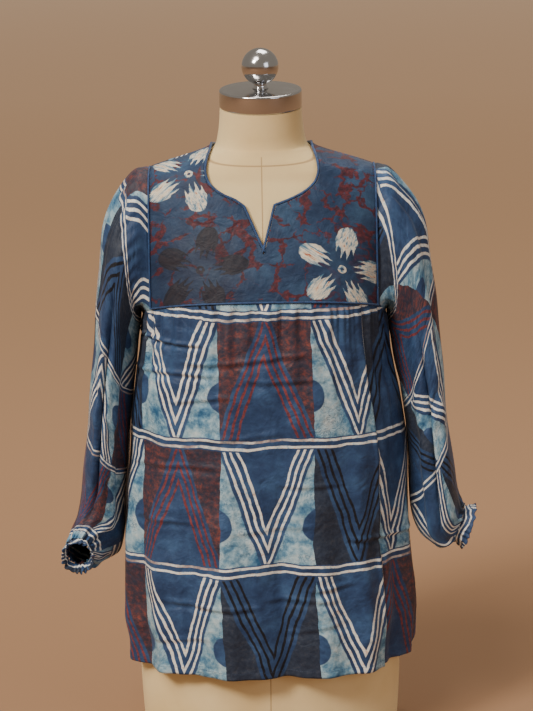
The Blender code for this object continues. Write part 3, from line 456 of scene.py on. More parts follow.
class ClothPiece:
    """A cut and sewn piece: a grid of points, its pattern coordinates and its thin wall."""

    node: str = ""
    closed: bool = False
    wall: float = 0.0008

    def grid(self) -> Array:
        """Middle surface as rows, columns and coordinates."""
        raise NotImplementedError

    def pattern(self, grid: Array) -> Array:
        """Pattern coordinates in metres, a pair for each point of the grid."""
        raise NotImplementedError

    def mesh(self, grid: Array, pattern: Array, outward: Array) -> bpy.types.Mesh:
        """Faces between the grid's rows and columns, pointing outwards, with the pattern as a UV map.

        Args:
            grid: Points.
            pattern: Pattern coordinates; one column more than the grid where the piece is closed.
            outward: Directions that the faces should point to, one for each point.

        Returns:
            The mesh.
        """
        rows, columns = grid.shape[:2]
        index = np.arange(rows * columns).reshape(rows, columns)
        if self.closed:
            index = np.concatenate([index, index[:, :1]], axis=1)
        corner = ((slice(None, -1), slice(None, -1)), (slice(1, None), slice(None, -1)))
        corner += ((slice(1, None), slice(1, None)), (slice(None, -1), slice(1, None)))
        faces = np.stack([index[at] for at in corner], axis=-1).reshape(-1, 4)
        places = np.stack([pattern[at] for at in corner], axis=-2).reshape(-1, 4, 2)
        points = grid.reshape(-1, 3)
        first = points[faces]
        normal = np.cross(first[:, 2] - first[:, 0], first[:, 3] - first[:, 1])
        facing = np.einsum("ij,ij->", normal, outward.reshape(-1, 3)[faces[:, 0]])
        if facing < 0:
            faces, places = faces[:, ::-1], places[:, ::-1]
        mesh = bpy.data.meshes.new(f"{self.node}_cloth")
        mesh.from_pydata(points.tolist(), [], faces.tolist())
        layer = mesh.uv_layers.new(name="cloth")
        layer.data.foreach_set("uv", np.ascontiguousarray(places).reshape(-1))
        mesh.shade_smooth()
        mesh.update()
        return mesh

    def build(self, finish: bpy.types.Material) -> bpy.types.Object:
        """Make the piece's object, dress it and put it in place of its node.

        Args:
            finish: The piece's material.

        Returns:
            The object.
        """
        grid = self.grid()
        pattern = self.pattern(grid)
        mesh = self.mesh(grid, pattern, self.outward(grid))
        mesh.materials.append(finish)
        piece = bpy.data.objects.new(f"{self.node}_cloth", mesh)
        bpy.context.scene.collection.objects.link(piece)
        wall = piece.modifiers.new("Wall", "SOLIDIFY")
        wall.thickness = self.wall
        wall.offset = 0.0
        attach(piece, BODY)
        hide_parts(self.node)
        report_piece(piece)
        return piece

    def outward(self, grid: Array) -> Array:
        """Directions away from the upright axis."""
        away = grid.copy()
        away[..., 2] = 0.0
        return away


def report_piece(piece: bpy.types.Object) -> None:
    """Log a piece's name and face count."""
    LOG.info("%s: %d faces", piece.name, len(piece.data.polygons))


STITCH_LIFT = 0.00050
HEM_STITCH_RISE = 0.0092
YOKE_STITCH_INSET = 0.0048
STITCH_MIDDLE = (0.0, 0.0, 0.45)


@dataclass
class FrontYoke(ClothPiece):
    """Flat bib yoke across the chest, with a round neckline and a V notch."""

    node: str = "front_yoke"
    detail: int = 8
    neck_columns: int = 11
    notch_columns: int = 4
    armhole_columns: int = 8
    low_columns: int = 7
    rows: int = 72
    armhole_crowding: float = 1.8

    def neck_edge(self) -> Array:
        """Points (across, height) along the neckline: left shoulder, notch, right shoulder."""
        across = SHAPE.neck_across()

        def half(sign: int, corner: tuple[float, float]) -> Array:
            knots = [(across, float(SHAPE.ridge(across))), *NECK_HALF, (abs(corner[0]), corner[1])]
            curve = self.even_curve(np.array(knots), self.neck_columns * self.detail)
            curve[:, 0] *= sign
            count = self.notch_columns * self.detail
            steps = np.arange(1, count + 1)[:, None] / count
            return np.concatenate([curve, np.array(corner) + (np.array(NOTCH_TIP) - corner) * steps])

        return np.concatenate([half(-1, NOTCH_LEFT), half(1, NOTCH_RIGHT)[-2::-1]])

    def even_curve(self, knots: Array, count: int) -> Array:
        """Resample a neckline through (across, height) knots into even steps along the cloth."""
        chord = np.r_[0.0, np.cumsum(np.hypot(*np.diff(knots, axis=0).T))]
        fine = np.linspace(0.0, chord[-1], 600) ** 1.5 / chord[-1] ** 0.5
        across = smooth_interp(fine, chord, knots[:, 0])
        height = smooth_interp(fine, chord, knots[:, 1])
        length = arc_length(np.c_[across, height, SHAPE.depth(across, height, -1)])
        marks = np.linspace(0.0, length[-1], count + 1)
        return np.c_[np.interp(marks, length, across), np.interp(marks, length, height)]

    def outer_edge(self) -> Array:
        """Points (across, height) along the outer edge: left armhole, lower edge, right armhole."""
        half_width = SHAPE.yoke_half_width
        top = float(SHAPE.ridge(half_width))
        low = float(SHAPE.seam_across(half_width))
        count = self.armhole_columns * self.detail
        share = (np.arange(count) / count) ** self.armhole_crowding
        armhole = np.c_[np.full(count, half_width), top + (low - top) * share]
        places = np.linspace(half_width, 0.0, self.low_columns * self.detail + 1)
        half = np.concatenate([armhole, np.c_[places, SHAPE.seam_across(places)]])
        return np.concatenate([half * (-1, 1), half[-2::-1]])

    def grid(self) -> Array:
        """Middle surface from the neckline out to the outer edge, a little uneven as cloth is."""
        shares = np.arange(self.rows + 1) / self.rows
        grid = SHAPE.draped(self.neck_edge(), self.outer_edge(), shares, -1)
        x, z = grid[..., 0], grid[..., 2]
        ripple = 0.00035 * np.sin(41.0 * x + 23.0 * z) * np.sin(67.0 * z - 11.0 * x + 1.0)
        ripple += 0.0007 * np.exp(-(((x + 0.1 * (z - 0.62) - 0.098) / 0.012) ** 2)) * ease_in(z, 0.66, 0.76)
        grid[..., 1] -= ripple
        return grid

    def pattern(self, grid: Array) -> Array:
        """Pattern coordinates: across, and height with the shoulder's run back added."""
        run = 0.55 * (0.125 + np.minimum(grid[..., 1], 0.0))
        return np.stack([grid[..., 0], grid[..., 2] + run], axis=-1)

    def build(self, finish: bpy.types.Material) -> bpy.types.Object:
        """Make the yoke."""
        piece = super().build(finish)
        return piece


@dataclass
class FrontPanel(ClothPiece):
    """Front panel, gathered under the yoke, with folds, creases, a deep tuck and a hem."""

    node: str = "front_panel"
    columns: int = 204
    rows: int = 232
    row_crowding: float = 1.25
    seam_gap: float = 0.0007
    hem: float = 0.1210
    slit_top: float = 0.1480
    corner_width: float = 0.26
    gather_depth: float = 0.0052
    gather_fade: float = 0.085
    tuck_across: float = 0.545
    hidden_cloth: float = 0.060
    hem_turn: float = 0.011

    def across(self) -> Array:
        """Places across the panel, from -1 to 1."""
        return np.linspace(-1.0, 1.0, self.columns + 1)

    def hem_height(self, across: Array) -> Array:
        """Hem height: level, with corners that round up to the side slits."""
        into = np.maximum(0.0, (np.abs(across) - (1 - self.corner_width)) / self.corner_width)
        rise = 1 - np.sqrt(np.maximum(0.0, 1 - into**3))
        return self.hem + (self.slit_top - self.hem) * rise

    def gathers(self, across: Array) -> Array:
        """Uneven gathers across the panel, strongest at the sides and under the notch."""
        drift = 0.35 * np.sin(9.0 * across + 0.6) + 0.25 * np.sin(17.0 * across + 2.0)
        strength = 0.55 + 0.30 * np.sin(8.06 * across + 1.57) + 0.15 * np.sin(23.0 * across)
        return strength * np.sin(math.pi * 21 * across + drift)

    def folds(self, across: Array, height: Array, hem: Array) -> Array:
        """Large folds that grow from where each one starts down to the hem."""
        rows = (
            (-0.80, 0.56, 0.060, 0.0075),
            (-0.66, 0.60, 0.045, -0.0070),
            (-0.52, 0.60, 0.050, 0.0090),
            (-0.35, 0.56, 0.050, -0.0070),
            (-0.17, 0.60, 0.065, 0.0095),
            (0.05, 0.60, 0.050, -0.0140),
            (0.22, 0.58, 0.060, 0.0070),
            (0.42, 0.60, 0.060, 0.0100),
            (0.66, 0.54, 0.055, -0.0085),
            (0.83, 0.54, 0.050, 0.0060),
        )
        relief = 0.0
        for place, start, spread, depth in rows:
            growth = ease_in(start - height, 0.0, start - hem)
            relief = relief + depth * growth * np.exp(-(((across - place) / spread) ** 2))
        return relief

    def creases(self, x: Array, height: Array) -> Array:
        """Pressed lines and small pulls, placed one by one across the panel."""
        lines = (
            Crease(0.5835, -0.128, 0.052, -0.02, 0.0016, 0.0022),
            Crease(0.5600, -0.030, 0.100, 0.05, 0.0009, 0.0030),
            Crease(0.5380, -0.125, 0.070, 0.04, 0.0011, 0.0026),
            Crease(0.5330, 0.020, 0.060, -0.06, 0.0008, 0.0030),
            Crease(0.5050, -0.085, 0.050, 0.10, 0.0008, 0.0028),
            Crease(0.4560, -0.050, 0.090, 0.03, 0.0007, 0.0030),
            Crease(0.4120, -0.120, 0.070, 0.02, 0.0009, 0.0028),
            Crease(0.3900, 0.060, 0.055, -0.05, 0.0008, 0.0028),
            Crease(0.3350, -0.140, 0.050, 0.05, 0.0008, 0.0028),
            Crease(0.3060, 0.155, 0.060, -0.03, 0.0015, 0.0024),
            Crease(0.3300, 0.010, 0.070, 0.02, 0.0006, 0.0030),
            Crease(0.2230, -0.075, 0.085, 0.01, 0.0012, 0.0028),
            Crease(0.2290, 0.040, 0.060, -0.03, 0.0009, 0.0030),
            Crease(0.2480, 0.085, 0.035, 0.15, 0.0010, 0.0026),
            Crease(0.1900, 0.060, 0.050, 0.10, 0.0007, 0.0028),
            Crease(0.1720, -0.120, 0.050, 0.05, 0.0008, 0.0028),
        )
        pulls = (
            Fold(-0.006, 0.610, 0.470, 0.004, 0.0055, 0.0016),
            Fold(0.012, 0.600, 0.500, 0.010, 0.0050, -0.0016),
            Fold(-0.082, 0.600, 0.500, -0.018, 0.0055, 0.0018),
            Fold(-0.070, 0.590, 0.450, 0.010, 0.0060, -0.0016),
            Fold(-0.052, 0.610, 0.540, 0.006, 0.0045, 0.0014),
            Fold(0.070, 0.610, 0.520, 0.020, 0.0055, 0.0016),
            Fold(0.088, 0.600, 0.470, 0.016, 0.0060, -0.0014),
            Fold(0.128, 0.600, 0.430, 0.012, 0.0060, 0.0022),
            Fold(0.142, 0.600, 0.480, 0.020, 0.0055, -0.0020),
            Fold(-0.017, 0.330, 0.100, 0.004, 0.0060, 0.0018),
            Fold(-0.120, 0.300, 0.120, 0.006, 0.0090, 0.0022),
            Fold(-0.040, 0.260, 0.110, -0.010, 0.0080, 0.0018),
        )
        relief = sum(line.relief_at(x, height) for line in lines)
        return relief + sum(pull.relief_at(x, height) for pull in pulls)

    def relief(self, across: Array, x: Array, height: Array, top: Array, hem: Array) -> Array:
        """Outward relief of the whole panel.

        Args:
            across: Places across, -1 to 1.
            x: Distances across in metres.
            height: Heights.
            top: Heights of the seam above each place.
            hem: Heights of the hem under each place.

        Returns:
            Distances outward.
        """
        side_fade = ease_in(1 - np.abs(across), 0.0, 0.10)
        seam_fade = ease_in(top - height, -0.0015, 0.013)
        drop = top - height
        gathers = self.gather_depth * self.gathers(across) * np.exp(-drop / self.gather_fade)
        small = 0.0028 * np.sin(math.pi * 49 * across + 1.7 * np.sin(13.0 * across)) * np.exp(-drop / 0.040)
        small = small * (0.6 + 0.4 * np.sin(19.0 * across + 1.0))
        folds = self.folds(across, height, hem)
        growth = ease_in(0.240 - height, 0.0, 0.240 - hem)
        step = (1 + np.tanh((across - self.tuck_across) / 0.022)) / 2
        tuck = -0.0080 * growth * step
        line = self.tuck_across - 0.010 * ease_in(height, 0.30, 0.58)
        edge = np.exp(-(((across - line + 0.010) / 0.012) ** 2)) - np.exp(-(((across - line - 0.012) / 0.010) ** 2))
        tuck = tuck + 0.0022 * edge * ease_in(0.585 - height, 0.0, 0.06)
        turned = 0.0005 * (1 - ease_in(height - hem, self.hem_turn - 0.0012, self.hem_turn))
        soft = (gathers + small) * seam_fade + folds + tuck + self.creases(x, height) + rolls(x, height) * seam_fade
        return side_fade * soft + turned

    def grid(self) -> Array:
        """Middle surface from inside the yoke's seam down to the hem."""
        across = self.across()[None, :]
        angle = math.pi / 2 * (1 - across)
        top = SHAPE.seam_on_ring(angle, -1) - self.seam_gap
        hem = self.hem_height(across)
        shares = (np.arange(self.rows + 1)[:, None] / self.rows) ** self.row_crowding
        height = top + (hem - top) * shares
        angle = np.broadcast_to(angle, height.shape)
        x = SHAPE.ring(height, angle, -1)[..., 0]
        relief = self.relief(across, x, height, top, hem)
        grid = SHAPE.ring(height, angle, -1, relief)
        under = 1 - ease_in(np.abs(x[:1]), 0.144, 0.150)
        tucked = SHAPE.ring(top + 0.0002 + 0.0028 * under, angle[:1], -1, -0.0012 * under)
        mid = SHAPE.ring(top + 0.0001 + 0.0003 * under, angle[:1], -1, -0.0011 * under)
        return np.concatenate([tucked, mid, grid])

    def pattern(self, grid: Array) -> Array:
        """Pattern coordinates: length around from the middle, jumping over the tuck's hidden cloth."""
        across = self.across()[None, :]
        height = grid[..., 2]
        smooth = SHAPE.ring(height, np.broadcast_to(math.pi / 2 * (1 - across), height.shape), -1)
        steps = np.linalg.norm(np.diff(smooth, axis=1), axis=2)
        around = np.concatenate([np.zeros_like(steps[:, :1]), np.cumsum(steps, axis=1)], axis=1)
        around = around - around[:, self.columns // 2][:, None]
        line = self.tuck_across - 0.010 * ease_in(height, 0.30, 0.58)
        around = around + self.hidden_cloth * ease_in(across, line - 0.002, line + 0.010)
        return np.stack([around, height + 0 * around], axis=-1)

    def build(self, finish: bpy.types.Material) -> bpy.types.Object:
        """Make the panel."""
        piece = super().build(finish)
        return piece


@dataclass
class BackPanel(ClothPiece):
    """One back piece from the shoulders to the hem."""

    node: str = "back_panel"
    columns: int = 168
    side_columns: int = 24
    upper_rows: int = 64
    lower_rows: int = 110
    hem: float = 0.1190
    slit_top: float = 0.1480
    corner_width: float = 0.26
    hem_turn: float = 0.011

    def top_boundary(self) -> Array:
        """Shoulder, back neckline, shoulder, as (across, height) pairs."""
        neck = SHAPE.neck_across()
        neck_columns = self.columns // 2
        shoulder = np.linspace(SHAPE.yoke_half_width, neck, (self.columns - neck_columns) // 2 + 1)
        ends = np.c_[shoulder, SHAPE.ridge(shoulder)]
        turn = math.pi * np.arange(1, neck_columns) / neck_columns
        start = float(SHAPE.ridge(neck))
        dip = np.c_[-neck * np.cos(turn), start + (SHAPE.back_neck_height - start) * np.sin(turn)]
        return np.concatenate([ends * (-1, 1), dip, ends[::-1]])

    def relief(self, share: Array, x: Array, height: Array, hem: Array) -> Array:
        """Outward relief: large folds that grow to the hem, and pressed lines."""
        rows = (
            (-0.74, 0.56, 0.070, 0.0060),
            (-0.52, 0.50, 0.070, -0.0060),
            (-0.28, 0.60, 0.080, 0.0080),
            (-0.02, 0.52, 0.070, -0.0070),
            (0.24, 0.62, 0.080, 0.0080),
            (0.50, 0.52, 0.070, -0.0060),
            (0.76, 0.56, 0.070, 0.0060),
        )
        relief = 0.0
        for place, start, spread, depth in rows:
            growth = ease_in(start - height, 0.0, start - hem)
            relief = relief + depth * growth * np.exp(-(((share - place) / spread) ** 2))
        lines = (
            Crease(0.560, -0.060, 0.090, 0.04, 0.0011, 0.0028),
            Crease(0.515, 0.080, 0.070, -0.05, 0.0010, 0.0028),
            Crease(0.455, -0.020, 0.120, 0.02, 0.0012, 0.0026),
            Crease(0.380, 0.090, 0.080, 0.04, 0.0010, 0.0028),
            Crease(0.345, -0.100, 0.070, -0.04, 0.0010, 0.0028),
            Crease(0.262, 0.020, 0.120, 0.01, 0.0013, 0.0026),
            Crease(0.190, -0.090, 0.060, 0.05, 0.0009, 0.0028),
        )
        pulls = (
            Fold(-0.060, 0.600, 0.400, 0.020, 0.0090, 0.0022),
            Fold(0.030, 0.590, 0.380, -0.012, 0.0085, 0.0020),
            Fold(0.110, 0.600, 0.420, 0.015, 0.0080, -0.0020),
            Fold(-0.130, 0.560, 0.400, -0.010, 0.0080, 0.0020),
        )
        relief = relief + sum(line.relief_at(x, height) for line in lines)
        relief = relief + sum(pull.relief_at(x, height) for pull in pulls)
        turned = 0.0005 * (1 - ease_in(height - hem, self.hem_turn - 0.0012, self.hem_turn))
        relief = relief + rolls(x + 0.4, height) * ease_in(0.62 - height, 0.0, 0.05)
        return ease_in(1 - np.abs(share), 0.0, 0.10) * relief + turned

    def grids(self) -> tuple[Array, Array]:
        """The upper grid between the armholes and the lower one to the hem, which share a row."""
        corner = SHAPE.corner_angle(1)
        side = np.linspace(0.0, corner, self.side_columns + 1)
        middle = np.linspace(corner, math.pi - corner, self.columns + 1)
        angle = np.concatenate([side[:-1], middle, math.pi - side[-2::-1]])[::-1][None, :]
        share = 1 - 2 * angle / math.pi
        seam = SHAPE.seam_on_ring(angle, 1)
        into = np.maximum(0.0, (np.abs(share) - (1 - self.corner_width)) / self.corner_width)
        hem = self.hem + (self.slit_top - self.hem) * (1 - np.sqrt(np.maximum(0.0, 1 - into**3)))
        rows = np.arange(self.lower_rows + 1)[:, None] / self.lower_rows
        height = seam + (hem - seam) * rows
        angles = np.broadcast_to(angle, height.shape)
        x = SHAPE.ring(height, angles, 1)[..., 0]
        lower = SHAPE.ring(height, angles, 1, self.relief(share, x, height, hem))
        joint = lower[0, self.side_columns : self.side_columns + self.columns + 1]
        shares = np.arange(self.upper_rows + 1) / self.upper_rows
        upper = SHAPE.draped(self.top_boundary(), joint[:, [0, 2]], shares, 1)
        blend = ease_in(shares, 0.8, 1.0)[:, None, None]
        upper = upper + (joint - upper[-1])[None] * blend
        return upper, lower

    def grid(self) -> Array:
        """The lower grid; the upper one is added in the build."""
        return self.grids()[1]

    def around(self, grid: Array) -> Array:
        """Pattern coordinates from the middle of the back, for either grid."""
        height = grid[..., 2]
        span = np.where(np.abs(grid[..., 0]) > 1e-6, grid[..., 0], 1e-6)
        section = SHAPE.section(height)
        ratio = np.clip(np.abs(span) / section["half_width"], 0.0, 1.0)
        bend = 1 + 0.32 * ratio**3.2
        run = 0.55 * np.maximum(0.0, 0.104 - np.maximum(grid[..., 1], 0.0)) * ease_in(height, 0.68, 0.76)
        return np.stack([-span * bend + 0.40, height + run + 0.058], axis=-1)

    def build(self, finish: bpy.types.Material) -> bpy.types.Object:
        """Make the back panel from its two grids."""
        upper, lower = self.grids()
        low_mesh = self.mesh(lower, self.around(lower), self.outward(lower))
        high_mesh = self.mesh(upper, self.around(upper), self.outward(upper))
        shape = bmesh.new()
        shape.from_mesh(low_mesh)
        shape.from_mesh(high_mesh)
        bmesh.ops.remove_doubles(shape, verts=shape.verts, dist=0.00002)
        mesh = bpy.data.meshes.new("back_panel_cloth")
        shape.to_mesh(mesh)
        shape.free()
        for spare in (low_mesh, high_mesh):
            bpy.data.meshes.remove(spare)
        mesh.shade_smooth()
        mesh.materials.append(finish)
        piece = bpy.data.objects.new("back_panel_cloth", mesh)
        bpy.context.scene.collection.objects.link(piece)
        wall = piece.modifiers.new("Wall", "SOLIDIFY")
        wall.thickness = self.wall
        wall.offset = 0.0
        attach(piece, BODY)
        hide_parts(self.node)
        report_piece(piece)
        return piece


@dataclass
class Sleeve(ClothPiece):
    """Long full sleeve, gathered at its head and into the cuff, with long soft folds."""

    node: str = "sleeve_left"
    side: int = 1
    rings: tuple = LEFT_ARM_RINGS
    closed: bool = True
    segments: int = 176
    coarse: int = 44
    rows_per_ring: int = 15
    head_gathers: int = 15
    wrist_gathers: int = 12
    long_folds: tuple[Fold, ...] = ()
    lean_in: tuple[tuple[float, float], ...] = ()
    cross_folds: tuple[Fold, ...] = ()
    pattern_turn: float = 0.0
    pattern_shift: tuple[float, float] = (0.0, 0.0)
    girth: float = 0.42

    def armhole_loop(self, clear: float, inward: float) -> Array:
        """Points around the armhole, just beyond the panels' edges.

        Args:
            clear: Distance beyond the edges, along the cloth.
            inward: Distance towards the form.

        Returns:
            The loop, from the shoulder ridge through the front.
        """
        half_width = SHAPE.yoke_half_width
        top = float(SHAPE.ridge(half_width))
        share = np.linspace(0.0, 1.0, 24)
        front = top + (float(SHAPE.seam_across(half_width, -1)) - top) * share**2
        back = (top + (float(SHAPE.seam_across(half_width, 1)) - top) * share**2)[::-1]
        angle_front = np.linspace(SHAPE.corner_angle(-1), 0.0, 12)[1:]
        angle_back = np.linspace(0.0, SHAPE.corner_angle(1), 12)[1:-1]
        low_front = SHAPE.ring(SHAPE.seam_on_ring(angle_front, -1), angle_front, -1)
        low_back = SHAPE.ring(SHAPE.seam_on_ring(angle_back, 1), angle_back, 1)
        across = np.full(24, half_width)
        path = np.concatenate(
            [
                np.c_[across, -SHAPE.depth(across, front, -1), front],
                low_front,
                low_back,
                np.c_[across, SHAPE.depth(across, back, 1), back][:-1],
            ]
        )
        normal = SHAPE.normal(path)
        along = np.roll(path, -1, axis=0) - np.roll(path, 1, axis=0)
        beyond = unit(np.cross(along, normal))
        beyond *= np.sign(beyond[:, 0] + beyond[:, 2])[:, None]
        path = path + beyond * clear - normal * inward
        path = np.concatenate([path, path[:1]])
        length = arc_length(path)
        marks = np.linspace(0.0, length[-1], self.coarse + 1)[:-1]
        loop = np.array([np.interp(marks, length, path[:, k]) for k in range(3)]).T
        loop[:, 0] *= self.side
        return loop

    def table_ring(self, row: dict[str, float]) -> Array:
        """Ring of the sleeve from one table row: around from the outer point through the front."""
        turn = math.radians(row["turn"])
        outer = np.array([self.side * row["outer_x"], row["middle_y"], row["outer_z"]])
        inner = np.array([self.side * row["inner_x"], row["middle_y"], row["inner_z"]])
        forward = np.array([0.0, -math.cos(turn), math.sin(turn)]) * row["half_depth"]
        angle = 2 * math.pi * np.arange(self.coarse) / self.coarse
        cosine, sine = np.cos(angle), np.sin(angle)
        power = 2 / 2.1
        along = np.sign(cosine) * np.abs(cosine) ** power
        aside = np.sign(sine) * np.abs(sine) ** power
        return (outer + inner) / 2 + along[:, None] * (outer - inner) / 2 + aside[:, None] * forward

    def coarse_grid(self) -> Array:
        """Plain rings from the armhole loop to the wrist."""
        loop = self.armhole_loop(0.0014, 0.0)
        grid = [loop]
        for index, values in enumerate(self.rings):
            ring = self.table_ring(dict(zip(SLEEVE_COLUMNS, values)))
            if index < 2:
                share = (0.45, 0.80)[index]
                ring = (loop - loop.mean(axis=0) + ring.mean(axis=0)) * (1 - share) + ring * share
            grid.append(ring)
        return np.array(grid)

    def fine_grid(self, coarse: Array) -> Array:
        """Refine the plain rings to many rows and columns through monotone cubics."""
        rows, columns = coarse.shape[:2]
        marks = np.linspace(0, rows - 1, (rows - 1) * self.rows_per_ring + 1)
        flat = coarse.reshape(rows, -1)
        fine = np.stack([smooth_interp(marks, np.arange(rows), flat[:, k]) for k in range(flat.shape[1])], axis=1)
        fine = fine.reshape(len(marks), columns, 3)
        wrap = np.concatenate([fine[:, -2:], fine, fine[:, :3]], axis=1)
        places = np.arange(-2, columns + 3)
        around = np.arange(self.segments) * columns / self.segments
        flat = wrap.transpose(1, 0, 2).reshape(len(places), -1)
        out = np.stack([smooth_interp(around, places, flat[:, k]) for k in range(flat.shape[1])], axis=1)
        return out.reshape(self.segments, len(marks), 3).transpose(1, 0, 2)

    def outward(self, grid: Array) -> Array:
        """Directions away from the middle of each ring."""
        return grid - grid.mean(axis=1, keepdims=True)

    def relief(self, angle: Array, progress: Array) -> Array:
        """Outward relief of the gathers at both ends and of the folds between them."""
        upper = np.maximum(0.0, np.cos(angle)) ** 0.5
        head = 0.0022 * upper * np.sin(self.head_gathers * angle + 0.7 * np.sin(3 * angle))
        head = head + 0.0009 * np.sin(37 * angle + 2.0 * np.sin(2 * angle)) * (1 - ease_in(progress, 0.05, 0.22))
        head = head * rise_and_fall(progress, -0.04, 0.10, 0.15, 0.50)
        uneven = 0.65 + 0.35 * np.sin(3.0 * angle + 1.0)
        wrist = 0.0026 * uneven * np.sin(self.wrist_gathers * angle + 0.8 * np.sin(2 * angle))
        wrist = wrist * ease_in(progress, 0.76, 0.97)
        wrist = wrist + 0.0011 * np.sin(29 * angle + np.sin(4 * angle)) * ease_in(progress, 0.88, 1.0)
        relief = head + wrist + 0.0012 * np.sin(3 * angle + 17 * progress) * np.sin(23 * progress - 2 * angle)
        if self.lean_in:
            places, depths = zip(*self.lean_in)
            inner = np.exp(-(((angle - 1.06 * math.pi) / 0.62) ** 4))
            relief = relief * (1 - 0.7 * inner) + inner * smooth_interp(progress, places, depths)
        for fold in self.long_folds:
            relief = relief + fold.relief_at(angle, progress)
            relief = relief + fold.relief_at(angle - 2 * math.pi, progress)
        for fold in self.cross_folds:
            relief = relief + fold.relief_at(progress, angle)
        return relief

    def grid(self) -> Array:
        """Middle surface from inside the armhole seam to the wrist, its join at the underarm."""
        fine = self.fine_grid(self.coarse_grid())
        rows = len(fine)
        angle = 2 * math.pi * np.arange(self.segments)[None, :] / self.segments
        progress = (np.arange(rows)[:, None] / (rows - 1)) * 14 / 13 - 1 / 13
        normal = grid_normals(fine, True)
        normal *= np.sign(np.einsum("ijk,ijk->ij", normal, self.outward(fine)))[..., None]
        fade = ease_in(np.arange(rows)[:, None], 0, 6)
        fine = fine + normal * (self.relief(angle, progress) * fade)[..., None]
        tucked = self.fine_loop(self.armhole_loop(-0.0030, 0.0013))
        mid = self.fine_loop(self.armhole_loop(0.0004, 0.0010))
        grid = np.concatenate([tucked[None], mid[None], fine])
        return np.roll(grid, self.segments // 2, axis=1)

    def fine_loop(self, loop: Array) -> Array:
        """Refine a closed loop to the grid's columns."""
        around = np.arange(self.segments) * self.coarse / self.segments
        wrap = np.concatenate([loop, loop[:1]])
        return np.stack([np.interp(around, np.arange(self.coarse + 1), wrap[:, k]) for k in range(3)], axis=1)

    def pattern(self, grid: Array) -> Array:
        """Pattern coordinates: around and along the sleeve, turned to how its cloth was cut."""
        columns = grid.shape[1] + 1
        around = np.linspace(0.0, self.girth, columns)[None, :]
        outer = grid[:, self.segments // 2]
        along = -arc_length(outer)[:, None]
        c, s = math.cos(self.pattern_turn), math.sin(self.pattern_turn)
        u = c * around - s * along + self.pattern_shift[0]
        v = s * around + c * along + self.pattern_shift[1]
        return np.stack([u, v], axis=-1)

    def last_rings(self) -> tuple[Array, Array]:
        """The sleeve's last ring and the one before it, for the cuff."""
        grid = self.grid()
        return grid[-1], grid[-5]

    def build(self, finish: bpy.types.Material) -> bpy.types.Object:
        """Make the sleeve."""
        piece = super().build(finish)
        return piece


@dataclass
class Cuff(ClothPiece):
    """Narrow elastic cuff with two channels and a small frilled edge."""

    node: str = "cuff_left"
    sleeve: Sleeve | None = None
    closed: bool = True
    wall: float = 0.0012
    rows: int = 18
    width: float = 0.016
    seam_gap: float = 0.0021
    pinch: float = 0.05
    flare: float = 0.16

    def grid(self) -> Array:
        """Middle surface from under the sleeve's last ring to the frill."""
        last, before = self.sleeve.last_rings()
        middle = last.mean(axis=0)
        heading = np.cross(last[0] - middle, last[len(last) // 4] - middle)
        heading /= np.linalg.norm(heading)
        heading *= np.sign(np.dot(heading, middle - before.mean(axis=0)))
        plain = self.sleeve.table_ring(dict(zip(SLEEVE_COLUMNS, self.sleeve.rings[-1])))
        plain = np.roll(self.sleeve.fine_loop(plain), self.sleeve.segments // 2, axis=0)
        angle = 2 * math.pi * np.arange(len(last)) / len(last)
        grid = []
        for index in range(self.rows + 1):
            t = index / self.rows
            scale = 1 - self.pinch * math.sin(math.pi * min(t * 1.6, 1.0)) + self.flare * t * t
            channel = 0.0006 * math.cos(4 * math.pi * t)
            ripple = 0.0008 + 0.0016 * t * t
            uneven = 0.55 + 0.45 * np.sin(5 * angle + 1.0)
            wave = ripple * uneven * np.sin(19 * angle + 2.1 * np.sin(4 * angle)) + channel
            spoke = unit(plain - middle)
            ring = middle + (plain - middle) * scale + spoke * wave[:, None]
            edge = 0.0012 * t * (uneven * np.sin(19 * angle + 2.1 * np.sin(4 * angle) + 0.9))[:, None]
            grid.append(ring + heading * (self.seam_gap + (self.width + edge) * t))
        return np.array(grid)

    def outward(self, grid: Array) -> Array:
        """Directions away from the middle of each ring."""
        return grid - grid.mean(axis=1, keepdims=True)

    def pattern(self, grid: Array) -> Array:
        """Pattern coordinates that put the print's striped border on the cuff."""
        columns = grid.shape[1] + 1
        around = np.linspace(0.0, 0.24, columns)[None, :] + 0 * np.arange(self.rows + 1)[:, None]
        along = 0.105 - np.linspace(0.0, 0.022, self.rows + 1)[:, None] + 0.0035 * np.sin(around * 90)
        return np.stack([around - 0.17, along + 0 * around], axis=-1)

    def build(self, finish: bpy.types.Material) -> bpy.types.Object:
        """Make the cuff."""
        piece = super().build(finish)
        return piece


def tube_piece(name: str, node: str, path: Array, radius: float, closed: bool,
               finish: bpy.types.Material) -> bpy.types.Object:
    """Make a round cord of piping along a path and put it in place of its node.

    Args:
        name: Name of the piece.
        node: Node that it stands for.
        path: Centre line.
        radius: Radius of the piping.
        closed: Whether the path joins up.
        finish: Material.

    Returns:
        The piece.
    """
    curve = bpy.data.curves.new(name, "CURVE")
    curve.dimensions = "3D"
    curve.bevel_depth = radius
    curve.bevel_resolution = 4
    curve.use_fill_caps = True
    spline = curve.splines.new("POLY")
    spline.points.add(len(path) - 1)
    for point, place in zip(spline.points, path):
        point.co = (*place, 1.0)
    spline.use_cyclic_u = closed
    guide = bpy.data.objects.new(f"{name}_guide", curve)
    bpy.context.scene.collection.objects.link(guide)
    mesh = bpy.data.meshes.new_from_object(guide.evaluated_get(bpy.context.evaluated_depsgraph_get()))
    bpy.data.objects.remove(guide)
    mesh.name = name
    mesh.materials.clear()
    mesh.materials.append(finish)
    mesh.shade_smooth()
    piece = bpy.data.objects.new(name, mesh)
    bpy.context.scene.collection.objects.link(piece)
    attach(piece, BODY)
    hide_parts(node)
    report_piece(piece)
    return piece


